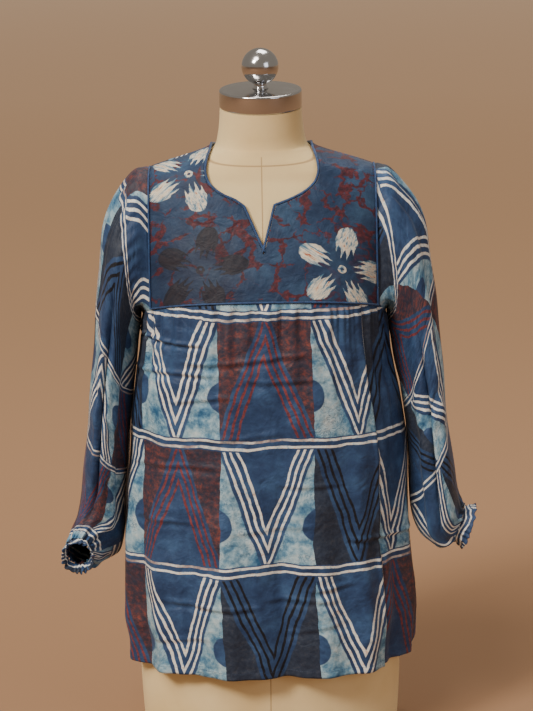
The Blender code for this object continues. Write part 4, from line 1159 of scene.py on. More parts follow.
@dataclass
class Piping:
    """Round piping along the neckline and along the yoke's outer edge."""

    yoke: FrontYoke
    back: BackPanel
    neck_radius: float = 0.0018
    neck_reach: float = 0.0019
    tip_lift: float = 0.0010
    yoke_radius: float = 0.0013
    yoke_inset: float = 0.0014

    def mitre(self, points: Array, closed: bool) -> tuple[Array, Array]:
        """Tangents of a path and how much its corners lengthen an offset."""
        if closed:
            before = unit(points - np.roll(points, 1, axis=0))
            after = unit(np.roll(points, -1, axis=0) - points)
        else:
            before = unit(points[1:-1] - points[:-2])
            after = unit(points[2:] - points[1:-1])
        half_turn = np.arccos(np.clip(np.einsum("ij,ij->i", before, after), -1.0, 1.0)) / 2
        return unit(before + after), 1 / np.maximum(0.3, np.cos(half_turn))

    def neck_path(self) -> Array:
        """Centre line beside the neckline's edge, in the opening."""
        yoke = self.yoke.grid()
        back = self.back.grids()[0]
        neck_columns = self.back.columns // 2
        first = (self.back.columns - neck_columns) // 2
        behind = slice(first + neck_columns - 1, first, -1)
        points = np.concatenate([yoke[0], back[0, behind]])
        inward = np.concatenate([yoke[3] - yoke[0], back[3, behind] - back[0, behind]])
        tangent, stretch = self.mitre(points, True)
        outward = unit(tangent * np.einsum("ij,ij->i", inward, tangent)[:, None] - inward)
        path = points + outward * (self.neck_reach * stretch)[:, None]
        path[:, 2] += self.tip_lift * np.exp(-((path[:, 0] / 0.004) ** 2)) * (path[:, 1] < 0.0)
        return path

    def yoke_path(self) -> Array:
        """Centre line on top of the yoke's outer edge, just inside it."""
        yoke = self.yoke.grid()
        edge = yoke[-1]
        proud = self.yoke.wall / 2 + 0.0002 + self.yoke_radius
        along = np.gradient(yoke, axis=1)[-1]
        outward = yoke[-1] - yoke[-4]
        normal = np.cross(outward, along)
        normal = unit(normal * np.sign(normal[len(edge) // 2, 1]) * -1)
        tangent, stretch = self.mitre(edge, False)
        inward = -np.cross(tangent, normal[1:-1])
        inward *= np.sign(np.einsum("ij,ij->i", inward, -outward[1:-1]))[:, None]
        return edge[1:-1] + normal[1:-1] * proud + inward * (self.yoke_inset * stretch)[:, None]

    def build(self, finish: bpy.types.Material) -> None:
        """Make both runs of piping."""
        tube_piece("neck_piping_cord", "neck_piping", self.neck_path(), self.neck_radius, True, finish)
        tube_piece("yoke_piping_cord", "yoke_piping", self.yoke_path(), self.yoke_radius, False, finish)


@dataclass
class Stitching:
    """A row of machine stitches along a line on the cloth, spread by Geometry Nodes."""

    name: str
    spacing: float = 0.0030
    length: float = 0.0021
    radius: float = 0.00022
    sides: int = 4
    seed: int = 7

    def tree(self, finish: bpy.types.Material) -> bpy.types.NodeTree:
        """Node tree that puts one thread stitch at each step along a curve.

        Args:
            finish: Material of the thread.

        Returns:
            The tree, whose inputs are Spacing, Length, Radius and Seed.
        """
        tree = bpy.data.node_groups.new(self.name, "GeometryNodeTree")
        for label, kind in (
            ("Geometry", "NodeSocketGeometry"), ("Spacing", "NodeSocketFloat"), ("Length", "NodeSocketFloat"),
            ("Radius", "NodeSocketFloat"), ("Seed", "NodeSocketInt"),
        ):
            tree.interface.new_socket(label, in_out="INPUT", socket_type=kind)
        tree.interface.new_socket("Geometry", in_out="OUTPUT", socket_type="NodeSocketGeometry")

        def add(kind: str, *sources: object, **settings: object) -> bpy.types.Node:
            """Add a node and feed its inputs in order."""
            node = tree.nodes.new(kind)
            for label, value in settings.items():
                setattr(node, label, value)
            for slot, source in enumerate(sources):
                if isinstance(source, bpy.types.NodeSocket):
                    tree.links.new(source, node.inputs[slot])
                elif source is not None:
                    node.inputs[slot].default_value = source
            return node

        given = add("NodeGroupInput").outputs
        steps = add("GeometryNodeCurveToPoints", given[0], None, given[1], mode="LENGTH")
        size = add("FunctionNodeRandomValue", None, None, 0.88, 1.12, data_type="FLOAT")
        tree.links.new(given[4], size.inputs["Seed"])
        thread = add("GeometryNodeMeshCylinder", self.sides, 1, 1, given[3], given[2])
        spread = add("GeometryNodeInstanceOnPoints", steps.outputs[0], None, thread.outputs[0])
        tree.links.new(steps.outputs["Rotation"], spread.inputs["Rotation"])
        tree.links.new(size.outputs[1], spread.inputs["Scale"])
        whole = add("GeometryNodeRealizeInstances", spread.outputs[0])
        dressed = add("GeometryNodeSetMaterial", whole.outputs[0], None, finish)
        add("NodeGroupOutput", dressed.outputs[0])
        return tree

    def build(self, path: Array, outward: Array, finish: bpy.types.Material) -> bpy.types.Object:
        """Make the row as one plain mesh that lies on the cloth.

        Args:
            path: Points of the row on the cloth's middle surface.
            outward: Directions away from the cloth at those points.
            finish: Material of the thread.

        Returns:
            The row of stitches.
        """
        curve = bpy.data.curves.new(self.name, "CURVE")
        curve.dimensions = "3D"
        spline = curve.splines.new("POLY")
        spline.points.add(len(path) - 1)
        for point, place in zip(spline.points, path + unit(outward) * STITCH_LIFT):
            point.co = (*place, 1.0)
        guide = bpy.data.objects.new(f"{self.name}_guide", curve)
        bpy.context.scene.collection.objects.link(guide)
        maker = guide.modifiers.new("Stitches", "NODES")
        maker.node_group = self.tree(finish)
        values = {"Spacing": self.spacing, "Length": self.length, "Radius": self.radius, "Seed": self.seed}
        for socket in maker.node_group.interface.items_tree:
            if socket.in_out == "INPUT" and socket.name in values:
                maker[socket.identifier] = values[socket.name]
        mesh = bpy.data.meshes.new_from_object(guide.evaluated_get(bpy.context.evaluated_depsgraph_get()))
        guide.modifiers.remove(maker)
        bpy.data.objects.remove(guide)
        piece = bpy.data.objects.new(self.name, mesh)
        bpy.context.scene.collection.objects.link(piece)
        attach(piece, BODY)
        report_piece(piece)
        return piece


def inside(grid: Array, depth: float) -> Array:
    """Points of a grid at a distance in from its last row, measured along its columns."""
    columns = grid[::-1]
    steps = np.linalg.norm(np.diff(columns, axis=0), axis=2)
    far = np.concatenate([np.zeros_like(steps[:1]), np.cumsum(steps, axis=0)])
    return np.array([[np.interp(depth, far[:, k], columns[:, k, axis]) for axis in range(3)]
                     for k in range(grid.shape[1])])


def stitch_rows(yoke: FrontYoke, front: FrontPanel, back: BackPanel, finish: bpy.types.Material) -> None:
    """Sew the rows that show: both hems and the line inside the yoke's piping."""
    rows = (
        ("yoke_stitches", yoke.grid(), YOKE_STITCH_INSET),
        ("front_hem_stitches", front.grid(), HEM_STITCH_RISE),
        ("back_hem_stitches", back.grids()[1], HEM_STITCH_RISE),
    )
    for name, grid, depth in rows:
        line = inside(grid, depth)
        facing = np.cross(np.gradient(line, axis=0), inside(grid, depth + 0.001) - line)
        away = np.einsum("ij,ij->i", facing, line - STITCH_MIDDLE)
        facing = facing * np.sign(away)[:, None]
        Stitching(name).build(line[4:-4], facing[4:-4], finish)


@dataclass
class DressForm:
    """Linen-covered torso with a leaning neck, flat underneath, and its polished cap and ball."""

    segments: int = 144
    body_step: float = 0.008
    shoulder_step: float = 0.0022
    lean_start: float = 0.830
    tilt: float = math.radians(7.0)
    cap_radius: float = 0.0555
    cap_height: float = 0.024
    cap_edge: float = 0.0025
    stem_radius: float = 0.0085
    stem_height: float = 0.006
    ball_radius: float = 0.0248
    gap: float = 0.0003

    def rings(self) -> Array:
        """Rings of the torso from the flat bottom to the top of the neck."""
        top = FORM_SECTIONS[-1][0]
        heights = np.concatenate(
            [
                np.arange(0.0, 0.750, self.body_step),
                np.arange(0.750, 0.840, self.shoulder_step),
                np.arange(0.840, top - 0.002, 0.004),
                [top],
            ]
        )[:, None]
        angle = 2 * math.pi * np.arange(self.segments)[None, :] / self.segments
        section = SHAPE.form_section(heights)
        cosine, sine = np.cos(angle), np.sin(angle)
        power = 2 / section["power"]
        x = section["half_width"] * np.sign(cosine) * np.abs(cosine) ** power
        reach = np.where(sine > 0, section["front"], section["back"])
        y = -np.sign(sine) * reach * np.abs(sine) ** power
        tilt = self.tilt * ease_in(heights, self.lean_start - 0.02, self.lean_start + 0.03)
        rise = np.maximum(0.0, heights - self.lean_start)
        above = heights > self.lean_start
        leant_y = np.where(above, y * np.cos(tilt) - rise * np.sin(tilt), y)
        leant_z = np.where(above, self.lean_start + rise * np.cos(tilt) + y * np.sin(tilt), heights + 0 * y)
        return np.stack([x + 0 * leant_y, leant_y, leant_z], axis=-1)

    def torso(self, finish: bpy.types.Material) -> bpy.types.Object:
        """Make the torso as one closed smooth loft."""
        rings = self.rings()
        shape = bmesh.new()
        loops = [[shape.verts.new(point) for point in ring] for ring in rings.tolist()]
        for low, high in zip(loops, loops[1:]):
            for k in range(self.segments):
                following = (k + 1) % self.segments
                shape.faces.new((low[k], low[following], high[following], high[k]))
        shape.faces.new(loops[0])
        shape.faces.new(loops[-1])
        bmesh.ops.recalc_face_normals(shape, faces=shape.faces)
        mesh = bpy.data.meshes.new("form_torso_cover")
        shape.to_mesh(mesh)
        shape.free()
        mesh.shade_smooth()
        mesh.set_sharp_from_angle(angle=math.radians(50))
        return self.place("form_torso_cover", "form_torso", mesh, finish)

    def place(self, name: str, node: str, mesh: bpy.types.Mesh, finish: bpy.types.Material) -> bpy.types.Object:
        """Make an object of a finished mesh and put it in place of its node."""
        mesh.materials.clear()
        mesh.materials.append(finish)
        piece = bpy.data.objects.new(name, mesh)
        bpy.context.scene.collection.objects.link(piece)
        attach(piece, BODY)
        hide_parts(node)
        report_piece(piece)
        return piece

    def on_neck(self, rise: float) -> Matrix:
        """Place a distance along the neck above its top."""
        length = FORM_SECTIONS[-1][0] - self.lean_start + rise
        shift = Vector((0.0, -length * math.sin(self.tilt), self.lean_start + length * math.cos(self.tilt)))
        return Matrix.Translation(shift) @ Matrix.Rotation(self.tilt, 4, "X")

    def turned(self, name: str, node: str, profile: list[tuple[float, float]], rise: float,
               finish: bpy.types.Material) -> bpy.types.Object:
        """Turn a profile about the neck's axis.

        Args:
            name: Name of the piece.
            node: Node that it stands for.
            profile: (radius, height) pairs from top to bottom.
            rise: Distance above the neck's top.
            finish: Material.

        Returns:
            The piece.
        """
        steps = 96
        shape = bmesh.new()
        points = [shape.verts.new((radius, 0.0, height)) for radius, height in profile]
        edges = [shape.edges.new(pair) for pair in zip(points, points[1:])]
        bmesh.ops.spin(
            shape, geom=points + edges, cent=(0, 0, 0), axis=(0, 0, 1), dvec=(0, 0, 0),
            angle=2 * math.pi, steps=steps, use_merge=True,
        )
        bmesh.ops.remove_doubles(shape, verts=shape.verts, dist=0.00001)
        bmesh.ops.recalc_face_normals(shape, faces=shape.faces)
        bmesh.ops.transform(shape, matrix=self.on_neck(rise), verts=shape.verts)
        mesh = bpy.data.meshes.new(name)
        shape.to_mesh(mesh)
        shape.free()
        mesh.shade_smooth()
        mesh.set_sharp_from_angle(angle=math.radians(60))
        return self.place(name, node, mesh, finish)

    def cap(self, finish: bpy.types.Material) -> None:
        """Make the shallow cap and the ball on its short stem."""
        radius, height, edge = self.cap_radius, self.cap_height, self.cap_edge
        profile = [(0.0, height + 0.0008), (radius * 0.55, height + 0.0005), (radius - edge * 1.2, height + 0.0001)]
        for k in range(9):
            turn = math.pi / 2 * k / 8
            profile.append((radius - edge + edge * math.sin(turn), height - edge + edge * math.cos(turn)))
        profile += [(radius, edge * 0.9), (radius - 0.0003, edge * 0.5), (radius - edge * 0.5, 0.0), (0.0, 0.0)]
        self.turned("neck_cap_metal", "neck_cap", profile, self.gap, finish)
        joint = math.asin(self.stem_radius / self.ball_radius)
        centre = self.stem_height + self.ball_radius * math.cos(joint)
        ball = []
        for k in range(41):
            angle = (math.pi - joint) * k / 40
            ball.append((self.ball_radius * math.sin(angle), centre + self.ball_radius * math.cos(angle)))
        ball += [(self.stem_radius * 1.02, 0.0035), (self.stem_radius * 1.1, 0.0016)]
        ball += [(self.stem_radius * 1.25, 0.0008), (self.stem_radius * 1.25, 0.0), (0.0, 0.0)]
        self.turned("cap_ball_metal", "cap_ball", ball, self.gap * 2 + height + 0.0008, finish)

    def build(self, linen: bpy.types.Material, metal: bpy.types.Material) -> None:
        """Make the torso, the cap and the ball."""
        self.torso(linen)
        self.cap(metal)


def linear(code: str) -> Colour:
    """Turn an sRGB hex colour to the linear values that shaders take."""
    values = [int(code.lstrip("#")[k : k + 2], 16) / 255 for k in (0, 2, 4)]
    return (*[v / 12.92 if v <= 0.04045 else ((v + 0.055) / 1.055) ** 2.4 for v in values], 1.0)


def add_node(tree: bpy.types.NodeTree, kind: str, *sources: object, out: int | str = 0, **settings: object):
    """Add a shader node with its settings and links.

    Args:
        tree: Node tree.
        kind: Node type without its "ShaderNode" prefix.
        sources: Values or sockets for the inputs in order; None leaves an input as it is.
        out: Output to return.
        settings: Node properties; "stops" fills a ramp and "named" feeds inputs by name.

    Returns:
        The chosen output socket, or the node where out is "node".
    """
    node = tree.nodes.new(f"ShaderNode{kind}")
    stops = settings.pop("stops", None)
    blend = settings.pop("blend", None)
    named = settings.pop("named", {})
    for name, value in settings.items():
        setattr(node, name, value)
    if stops:
        ramp = node.color_ramp
        ramp.interpolation = blend or "LINEAR"
        while len(ramp.elements) < len(stops):
            ramp.elements.new(1.0)
        for element, (place, colour) in zip(ramp.elements, stops):
            element.position = place
        for element, (place, colour) in zip(ramp.elements, stops):
            element.color = linear(colour) if isinstance(colour, str) else colour
    for slot, source in [*enumerate(sources), *named.items()]:
        if source is None:
            continue
        if isinstance(source, bpy.types.NodeSocket):
            tree.links.new(source, node.inputs[slot])
        else:
            node.inputs[slot].default_value = source
    return node if out == "node" else node.outputs[out]


def grey(value: float) -> Colour:
    """Linear grey for a ramp that holds numbers."""
    return (value, value, value, 1.0)


class Finish:
    """A finish: its name and the nodes that make it."""

    name: str = ""

    def make(self) -> bpy.types.Material:
        """Make the material with a Principled shader and this finish's own nodes."""
        material = bpy.data.materials.new(self.name)
        material.use_nodes = True
        tree = material.node_tree
        tree.nodes.clear()
        shader = add_node(tree, "BsdfPrincipled", out="node")
        add_node(tree, "OutputMaterial", shader.outputs[0], out="node")
        self.dress(tree, shader)
        return material

    def dress(self, tree: bpy.types.NodeTree, shader: bpy.types.Node) -> None:
        """Set the shader's values and feed its colour, roughness and bump."""
        raise NotImplementedError


class Way(Enum):
    """Colour way and direction of a block of the print: (redness, lightness, points up)."""

    PALE_DOWN = (0.0, 1.0, 0.0)
    RUST_UP = (1.0, 0.0, 1.0)
    COAL_DOWN = (0.0, 0.0, 0.0)
    COAL_UP = (0.0, 0.0, 1.0)


PALE, RUST, COAL, DARK = Way.PALE_DOWN, Way.RUST_UP, Way.COAL_DOWN, Way.COAL_UP
BLOCKS = (
    (RUST, PALE, COAL, PALE, RUST),
    (PALE, RUST, PALE, COAL, PALE),
    (DARK, PALE, RUST, PALE, DARK),
    (RUST, DARK, PALE, RUST, PALE),
)


NAVY_TONES = [(0.32, "#21375C"), (0.50, "#2E4870"), (0.68, "#3E5F89")]
PALE_TONES = [(0.34, "#2C618A"), (0.44, "#6391AF"), (0.53, "#9ABCCC"), (0.64, "#C3D5D9"), (0.76, "#BFC7C4")]
VEIN_TONE = "#22527A"
RUST_TONES = [(0.36, "#2A3246"), (0.50, "#513B44"), (0.62, "#80443F"), (0.74, "#955148")]
COAL_TONES = [(0.36, "#1F2A3E"), (0.54, "#2D384B"), (0.70, "#434752")]
WHITE_TONES = [(0.30, "#A3C4D4"), (0.42, "#ECF0EC"), (0.60, "#FAF4E8"), (0.78, "#E3B79F")]
RED_LINE_TONES = [(0.35, "#4E3040"), (0.6, "#843D3F")]
BLACK_LINE_TONES = [(0.35, "#0C0F18"), (0.65, "#181B25")]


@dataclass(frozen=True)
class BlockPrint(Finish):
    """Smooth viscose, block printed: triangles in three outlines on pale, rust and charcoal grounds."""

    name: str = "block_printed_viscose"
    block_width: float = 0.126
    block_height: float = 0.174
    first_column: float = -0.316
    first_row: float = 0.0975
    blunt: float = 0.045
    ramp_reach: float = 0.034
    first_line: float = 0.0048
    line_pitch: float = 0.0086
    line_width: float = 0.0027
    line_softness: float = 0.0006
    disc_radius: float = 0.0225
    disc_height: float = 0.37

    def cloth_place(self, tree: bpy.types.NodeTree) -> bpy.types.NodeSocket:
        """Pattern coordinates in metres, with the small wander of a hand-printed line."""
        place = add_node(tree, "UVMap", uv_map="cloth")
        for scale, size in ((14.0, 0.0130), (95.0, 0.0022)):
            noise = add_node(tree, "TexNoise", place, out="Color", named={"Scale": scale, "Detail": 2.0})
            shift = add_node(tree, "VectorMath", noise, (0.5, 0.5, 0.5), operation="SUBTRACT")
            shift = add_node(tree, "VectorMath", shift, operation="SCALE", named={"Scale": size})
            place = add_node(tree, "VectorMath", place, shift, operation="ADD")
        return place

    def block(self, tree: bpy.types.NodeTree, place: bpy.types.NodeSocket) -> tuple:
        """Find the block of a place.

        Args:
            tree: Node tree.
            place: Pattern coordinates.

        Returns:
            Place in the block across and up (0 to 1), and the block's redness, lightness and direction.
        """
        start = (self.first_column, self.first_row, 0.0)
        size = (1 / self.block_width, 1 / self.block_height, 1.0)
        cells = add_node(tree, "VectorMath", place, start, operation="SUBTRACT")
        cells = add_node(tree, "VectorMath", cells, size, operation="MULTIPLY")
        whole = add_node(tree, "VectorMath", cells, operation="FLOOR")
        part = add_node(tree, "VectorMath", cells, operation="FRACTION")
        split = add_node(tree, "SeparateXYZ", part, out="node")
        number = add_node(tree, "SeparateXYZ", whole, out="node")
        column = add_node(tree, "Math", number.outputs[0], 5.0, operation="FLOORED_MODULO")
        row = add_node(tree, "Math", number.outputs[1], 4.0, operation="FLOORED_MODULO")
        entry = add_node(tree, "Math", row, 5.0, column, operation="MULTIPLY_ADD")
        entry = add_node(tree, "Math", entry, 0.05, 0.025, operation="MULTIPLY_ADD")
        ways = [way.value for line in BLOCKS for way in line]
        stops = [(k / 20, (*way, 1.0)) for k, way in enumerate(ways)]
        way = add_node(tree, "ValToRGB", entry, stops=stops, blend="CONSTANT")
        parts = add_node(tree, "SeparateColor", way, out="node")
        return split.outputs[0], split.outputs[1], parts.outputs[0], parts.outputs[1], parts.outputs[2]

    def outlines(self, tree: bpy.types.NodeTree, s, t, upward) -> tuple:
        """Distance in metres inside the legs of the block's triangle, and the mask of its three lines."""
        turned = add_node(tree, "Math", 1.0, t, operation="SUBTRACT")
        share = add_node(tree, "MixRGB", upward, t, turned)
        aside = add_node(tree, "Math", s, 0.5, operation="SUBTRACT")
        aside = add_node(tree, "Math", aside, operation="ABSOLUTE")
        leg = add_node(tree, "Math", share, 0.5, self.blunt, operation="MULTIPLY_ADD")
        leg = add_node(tree, "Math", leg, aside, operation="SUBTRACT")
        lean = self.block_height / math.hypot(self.block_height, self.block_width / 2)
        inside = add_node(tree, "Math", leg, self.block_width * lean, operation="MULTIPLY")
        scaled = add_node(tree, "Math", inside, 1 / self.ramp_reach, operation="MULTIPLY")
        soft = self.line_softness
        stops = [(0.0, grey(0))]
        for k in range(3):
            low = self.first_line + self.line_pitch * k
            marks = (low - soft, low, low + self.line_width, low + self.line_width + soft)
            stops += [(mark / self.ramp_reach, grey(level)) for mark, level in zip(marks, (0, 1, 1, 0))]
        lines = add_node(tree, "ValToRGB", scaled, stops=stops)
        return inside, lines

    def border(self, tree: bpy.types.NodeTree, t) -> tuple:
        """Masks of the strip between two rows of blocks and of the line on each side of it."""
        fold = add_node(tree, "Math", t, 0.5, operation="PINGPONG")
        distance = add_node(tree, "Math", fold, self.block_height / 0.02, operation="MULTIPLY")
        line = [(0.0, grey(0)), (0.135, grey(0)), (0.165, grey(1)), (0.300, grey(1)), (0.330, grey(0))]
        strip = [(0.0, grey(1)), (0.39, grey(1)), (0.43, grey(0))]
        return add_node(tree, "ValToRGB", distance, stops=strip), add_node(tree, "ValToRGB", distance, stops=line)

    def discs(self, tree: bpy.types.NodeTree, s, t) -> bpy.types.NodeSocket:
        """Mask of the half discs that bulge in at a block's upright edges."""
        edge = add_node(tree, "Math", s, 0.5, operation="PINGPONG")
        x = add_node(tree, "Math", edge, self.block_width, 0.007, operation="MULTIPLY_ADD")
        y = add_node(tree, "Math", t, self.disc_height, operation="SUBTRACT")
        y = add_node(tree, "Math", y, self.block_height, operation="MULTIPLY")
        place = add_node(tree, "CombineXYZ", x, y)
        far = add_node(tree, "VectorMath", place, operation="LENGTH", out="Value")
        far = add_node(tree, "Math", far, 1 / (2 * self.disc_radius), operation="MULTIPLY")
        return add_node(tree, "ValToRGB", far, stops=[(0.0, grey(1)), (0.49, grey(1)), (0.52, grey(0))])

    def ground(self, tree: bpy.types.NodeTree, place, redness, lightness) -> bpy.types.NodeSocket:
        """Mottled ground colour: pale blue with dye veins, rust, or charcoal."""
        cloud = add_node(tree, "TexNoise", place, named={"Scale": 30.0, "Detail": 6.0, "Roughness": 0.7})
        fine = add_node(tree, "TexNoise", place, named={"Scale": 130.0, "Detail": 6.0, "Roughness": 0.75})
        wide = add_node(tree, "TexNoise", place, named={"Scale": 17.0, "Detail": 4.0, "Roughness": 0.6})
        pale = add_node(tree, "ValToRGB", cloud, stops=PALE_TONES)
        veins = add_node(tree, "TexNoise", place, named={"Scale": 70.0, "Detail": 3.0, "Distortion": 2.6})
        veins = add_node(tree, "Math", veins, 0.5, operation="SUBTRACT")
        veins = add_node(tree, "Math", veins, operation="ABSOLUTE")
        veins = add_node(tree, "ValToRGB", veins, stops=[(0.0, grey(0.9)), (0.012, grey(0.5)), (0.030, grey(0))])
        broken = add_node(tree, "ValToRGB", wide, stops=[(0.44, grey(1)), (0.56, grey(0))])
        veins = add_node(tree, "Math", veins, broken, operation="MULTIPLY")
        pale = add_node(tree, "MixRGB", veins, pale, linear(VEIN_TONE))
        rust = add_node(tree, "ValToRGB", fine, stops=RUST_TONES)
        shade = add_node(tree, "ValToRGB", wide, stops=[(0.38, grey(0.62)), (0.56, grey(0.0))])
        rust = add_node(tree, "MixRGB", shade, rust, linear(COAL_TONES[0][1]))
        coal = add_node(tree, "ValToRGB", fine, stops=COAL_TONES)
        dark = add_node(tree, "MixRGB", redness, coal, rust)
        return add_node(tree, "MixRGB", lightness, dark, pale)

    def colour(self, tree: bpy.types.NodeTree) -> bpy.types.NodeSocket:
        """Printed colour of a place on the cloth."""
        place = self.cloth_place(tree)
        s, t, redness, lightness, upward = self.block(tree, place)
        inside, lines = self.outlines(tree, s, t, upward)
        cloud = add_node(tree, "TexNoise", place, named={"Scale": 24.0, "Detail": 5.0, "Roughness": 0.65})
        navy = add_node(tree, "ValToRGB", cloud, stops=NAVY_TONES)
        ground = self.ground(tree, place, redness, lightness)
        discs = self.discs(tree, s, t)
        discs = add_node(tree, "Math", discs, lightness, operation="MULTIPLY")
        ground = add_node(tree, "MixRGB", discs, ground, navy)
        filled = add_node(tree, "Math", inside, 900.0, 0.5, operation="MULTIPLY_ADD", use_clamp=True)
        base = add_node(tree, "MixRGB", filled, ground, navy)
        worn = add_node(tree, "TexNoise", place, named={"Scale": 210.0, "Detail": 3.0})
        white = add_node(tree, "ValToRGB", worn, stops=WHITE_TONES)
        red = add_node(tree, "ValToRGB", worn, stops=RED_LINE_TONES)
        black = add_node(tree, "ValToRGB", worn, stops=BLACK_LINE_TONES)
        dark = add_node(tree, "MixRGB", redness, black, red)
        ink = add_node(tree, "MixRGB", lightness, dark, white)
        base = add_node(tree, "MixRGB", lines, base, ink)
        strip, border = self.border(tree, t)
        base = add_node(tree, "MixRGB", strip, base, navy)
        tint = add_node(tree, "ValToRGB", cloud, stops=[(0.42, grey(0.15)), (0.58, grey(0.75))])
        tint = add_node(tree, "Math", redness, tint, operation="MULTIPLY")
        rim = add_node(tree, "MixRGB", tint, white, red)
        return add_node(tree, "MixRGB", border, base, rim)

    def dress(self, tree: bpy.types.NodeTree, shader: bpy.types.Node) -> None:
        """Soft sheen of smooth viscose over the printed colour, with its weave."""
        # Printed viscose: its triangles, worn outlines and mottled grounds carry most of the tunic's look.
        soft_cloth(tree, shader, self.colour(tree), 0.56)


def soft_cloth(tree: bpy.types.NodeTree, shader: bpy.types.Node, colour, roughness: float) -> None:
    """Give a shader the surface of a fine plain weave, with painted shade in the hollows of its crumples.

    Args:
        tree: Node tree.
        shader: Principled shader.
        colour: Socket of the cloth's colour.
        roughness: Roughness between its threads.
    """
    place = add_node(tree, "UVMap", uv_map="cloth")
    # Real threads are 0.25 mm apart, too fine to show; they are drawn at 0.9 mm.
    warp = add_node(tree, "TexWave", place, out="Fac", bands_direction="X", named={"Scale": 1 / (20 * 0.0009) * 6.283})
    weft = add_node(tree, "TexWave", place, out="Fac", bands_direction="Y", named={"Scale": 1 / (20 * 0.0009) * 6.283})
    weave = add_node(tree, "Math", warp, weft, operation="MULTIPLY")
    rumple = add_node(tree, "TexNoise", place, named={"Scale": 34.0, "Detail": 3.0, "Distortion": 0.7})
    crush = add_node(tree, "TexNoise", place, named={"Scale": 120.0, "Detail": 4.0, "Roughness": 0.6})
    height = add_node(tree, "Math", weave, 0.012, rumple, operation="MULTIPLY_ADD")
    height = add_node(tree, "Math", crush, 0.22, height, operation="MULTIPLY_ADD")
    bump = add_node(tree, "Bump", named={"Strength": 0.8, "Distance": 0.0042, "Height": height})
    # Painted shade: the colour darkens where the crush noise is low. That noise also lowers the bump there, so the
    # hollows of the crumples are painted darker.
    shade = add_node(tree, "ValToRGB", crush, stops=[(0.30, grey(0.80)), (0.70, grey(1.0))])
    colour = add_node(tree, "MixRGB", 1.0, colour, shade, blend_type="MULTIPLY")
    tree.links.new(colour, shader.inputs["Base Color"])
    tree.links.new(bump, shader.inputs["Normal"])
    shader.inputs["Roughness"].default_value = roughness
    shader.inputs["Sheen Weight"].default_value = 0.07
    shader.inputs["Sheen Roughness"].default_value = 0.45
    shader.inputs["Specular IOR Level"].default_value = 0.34


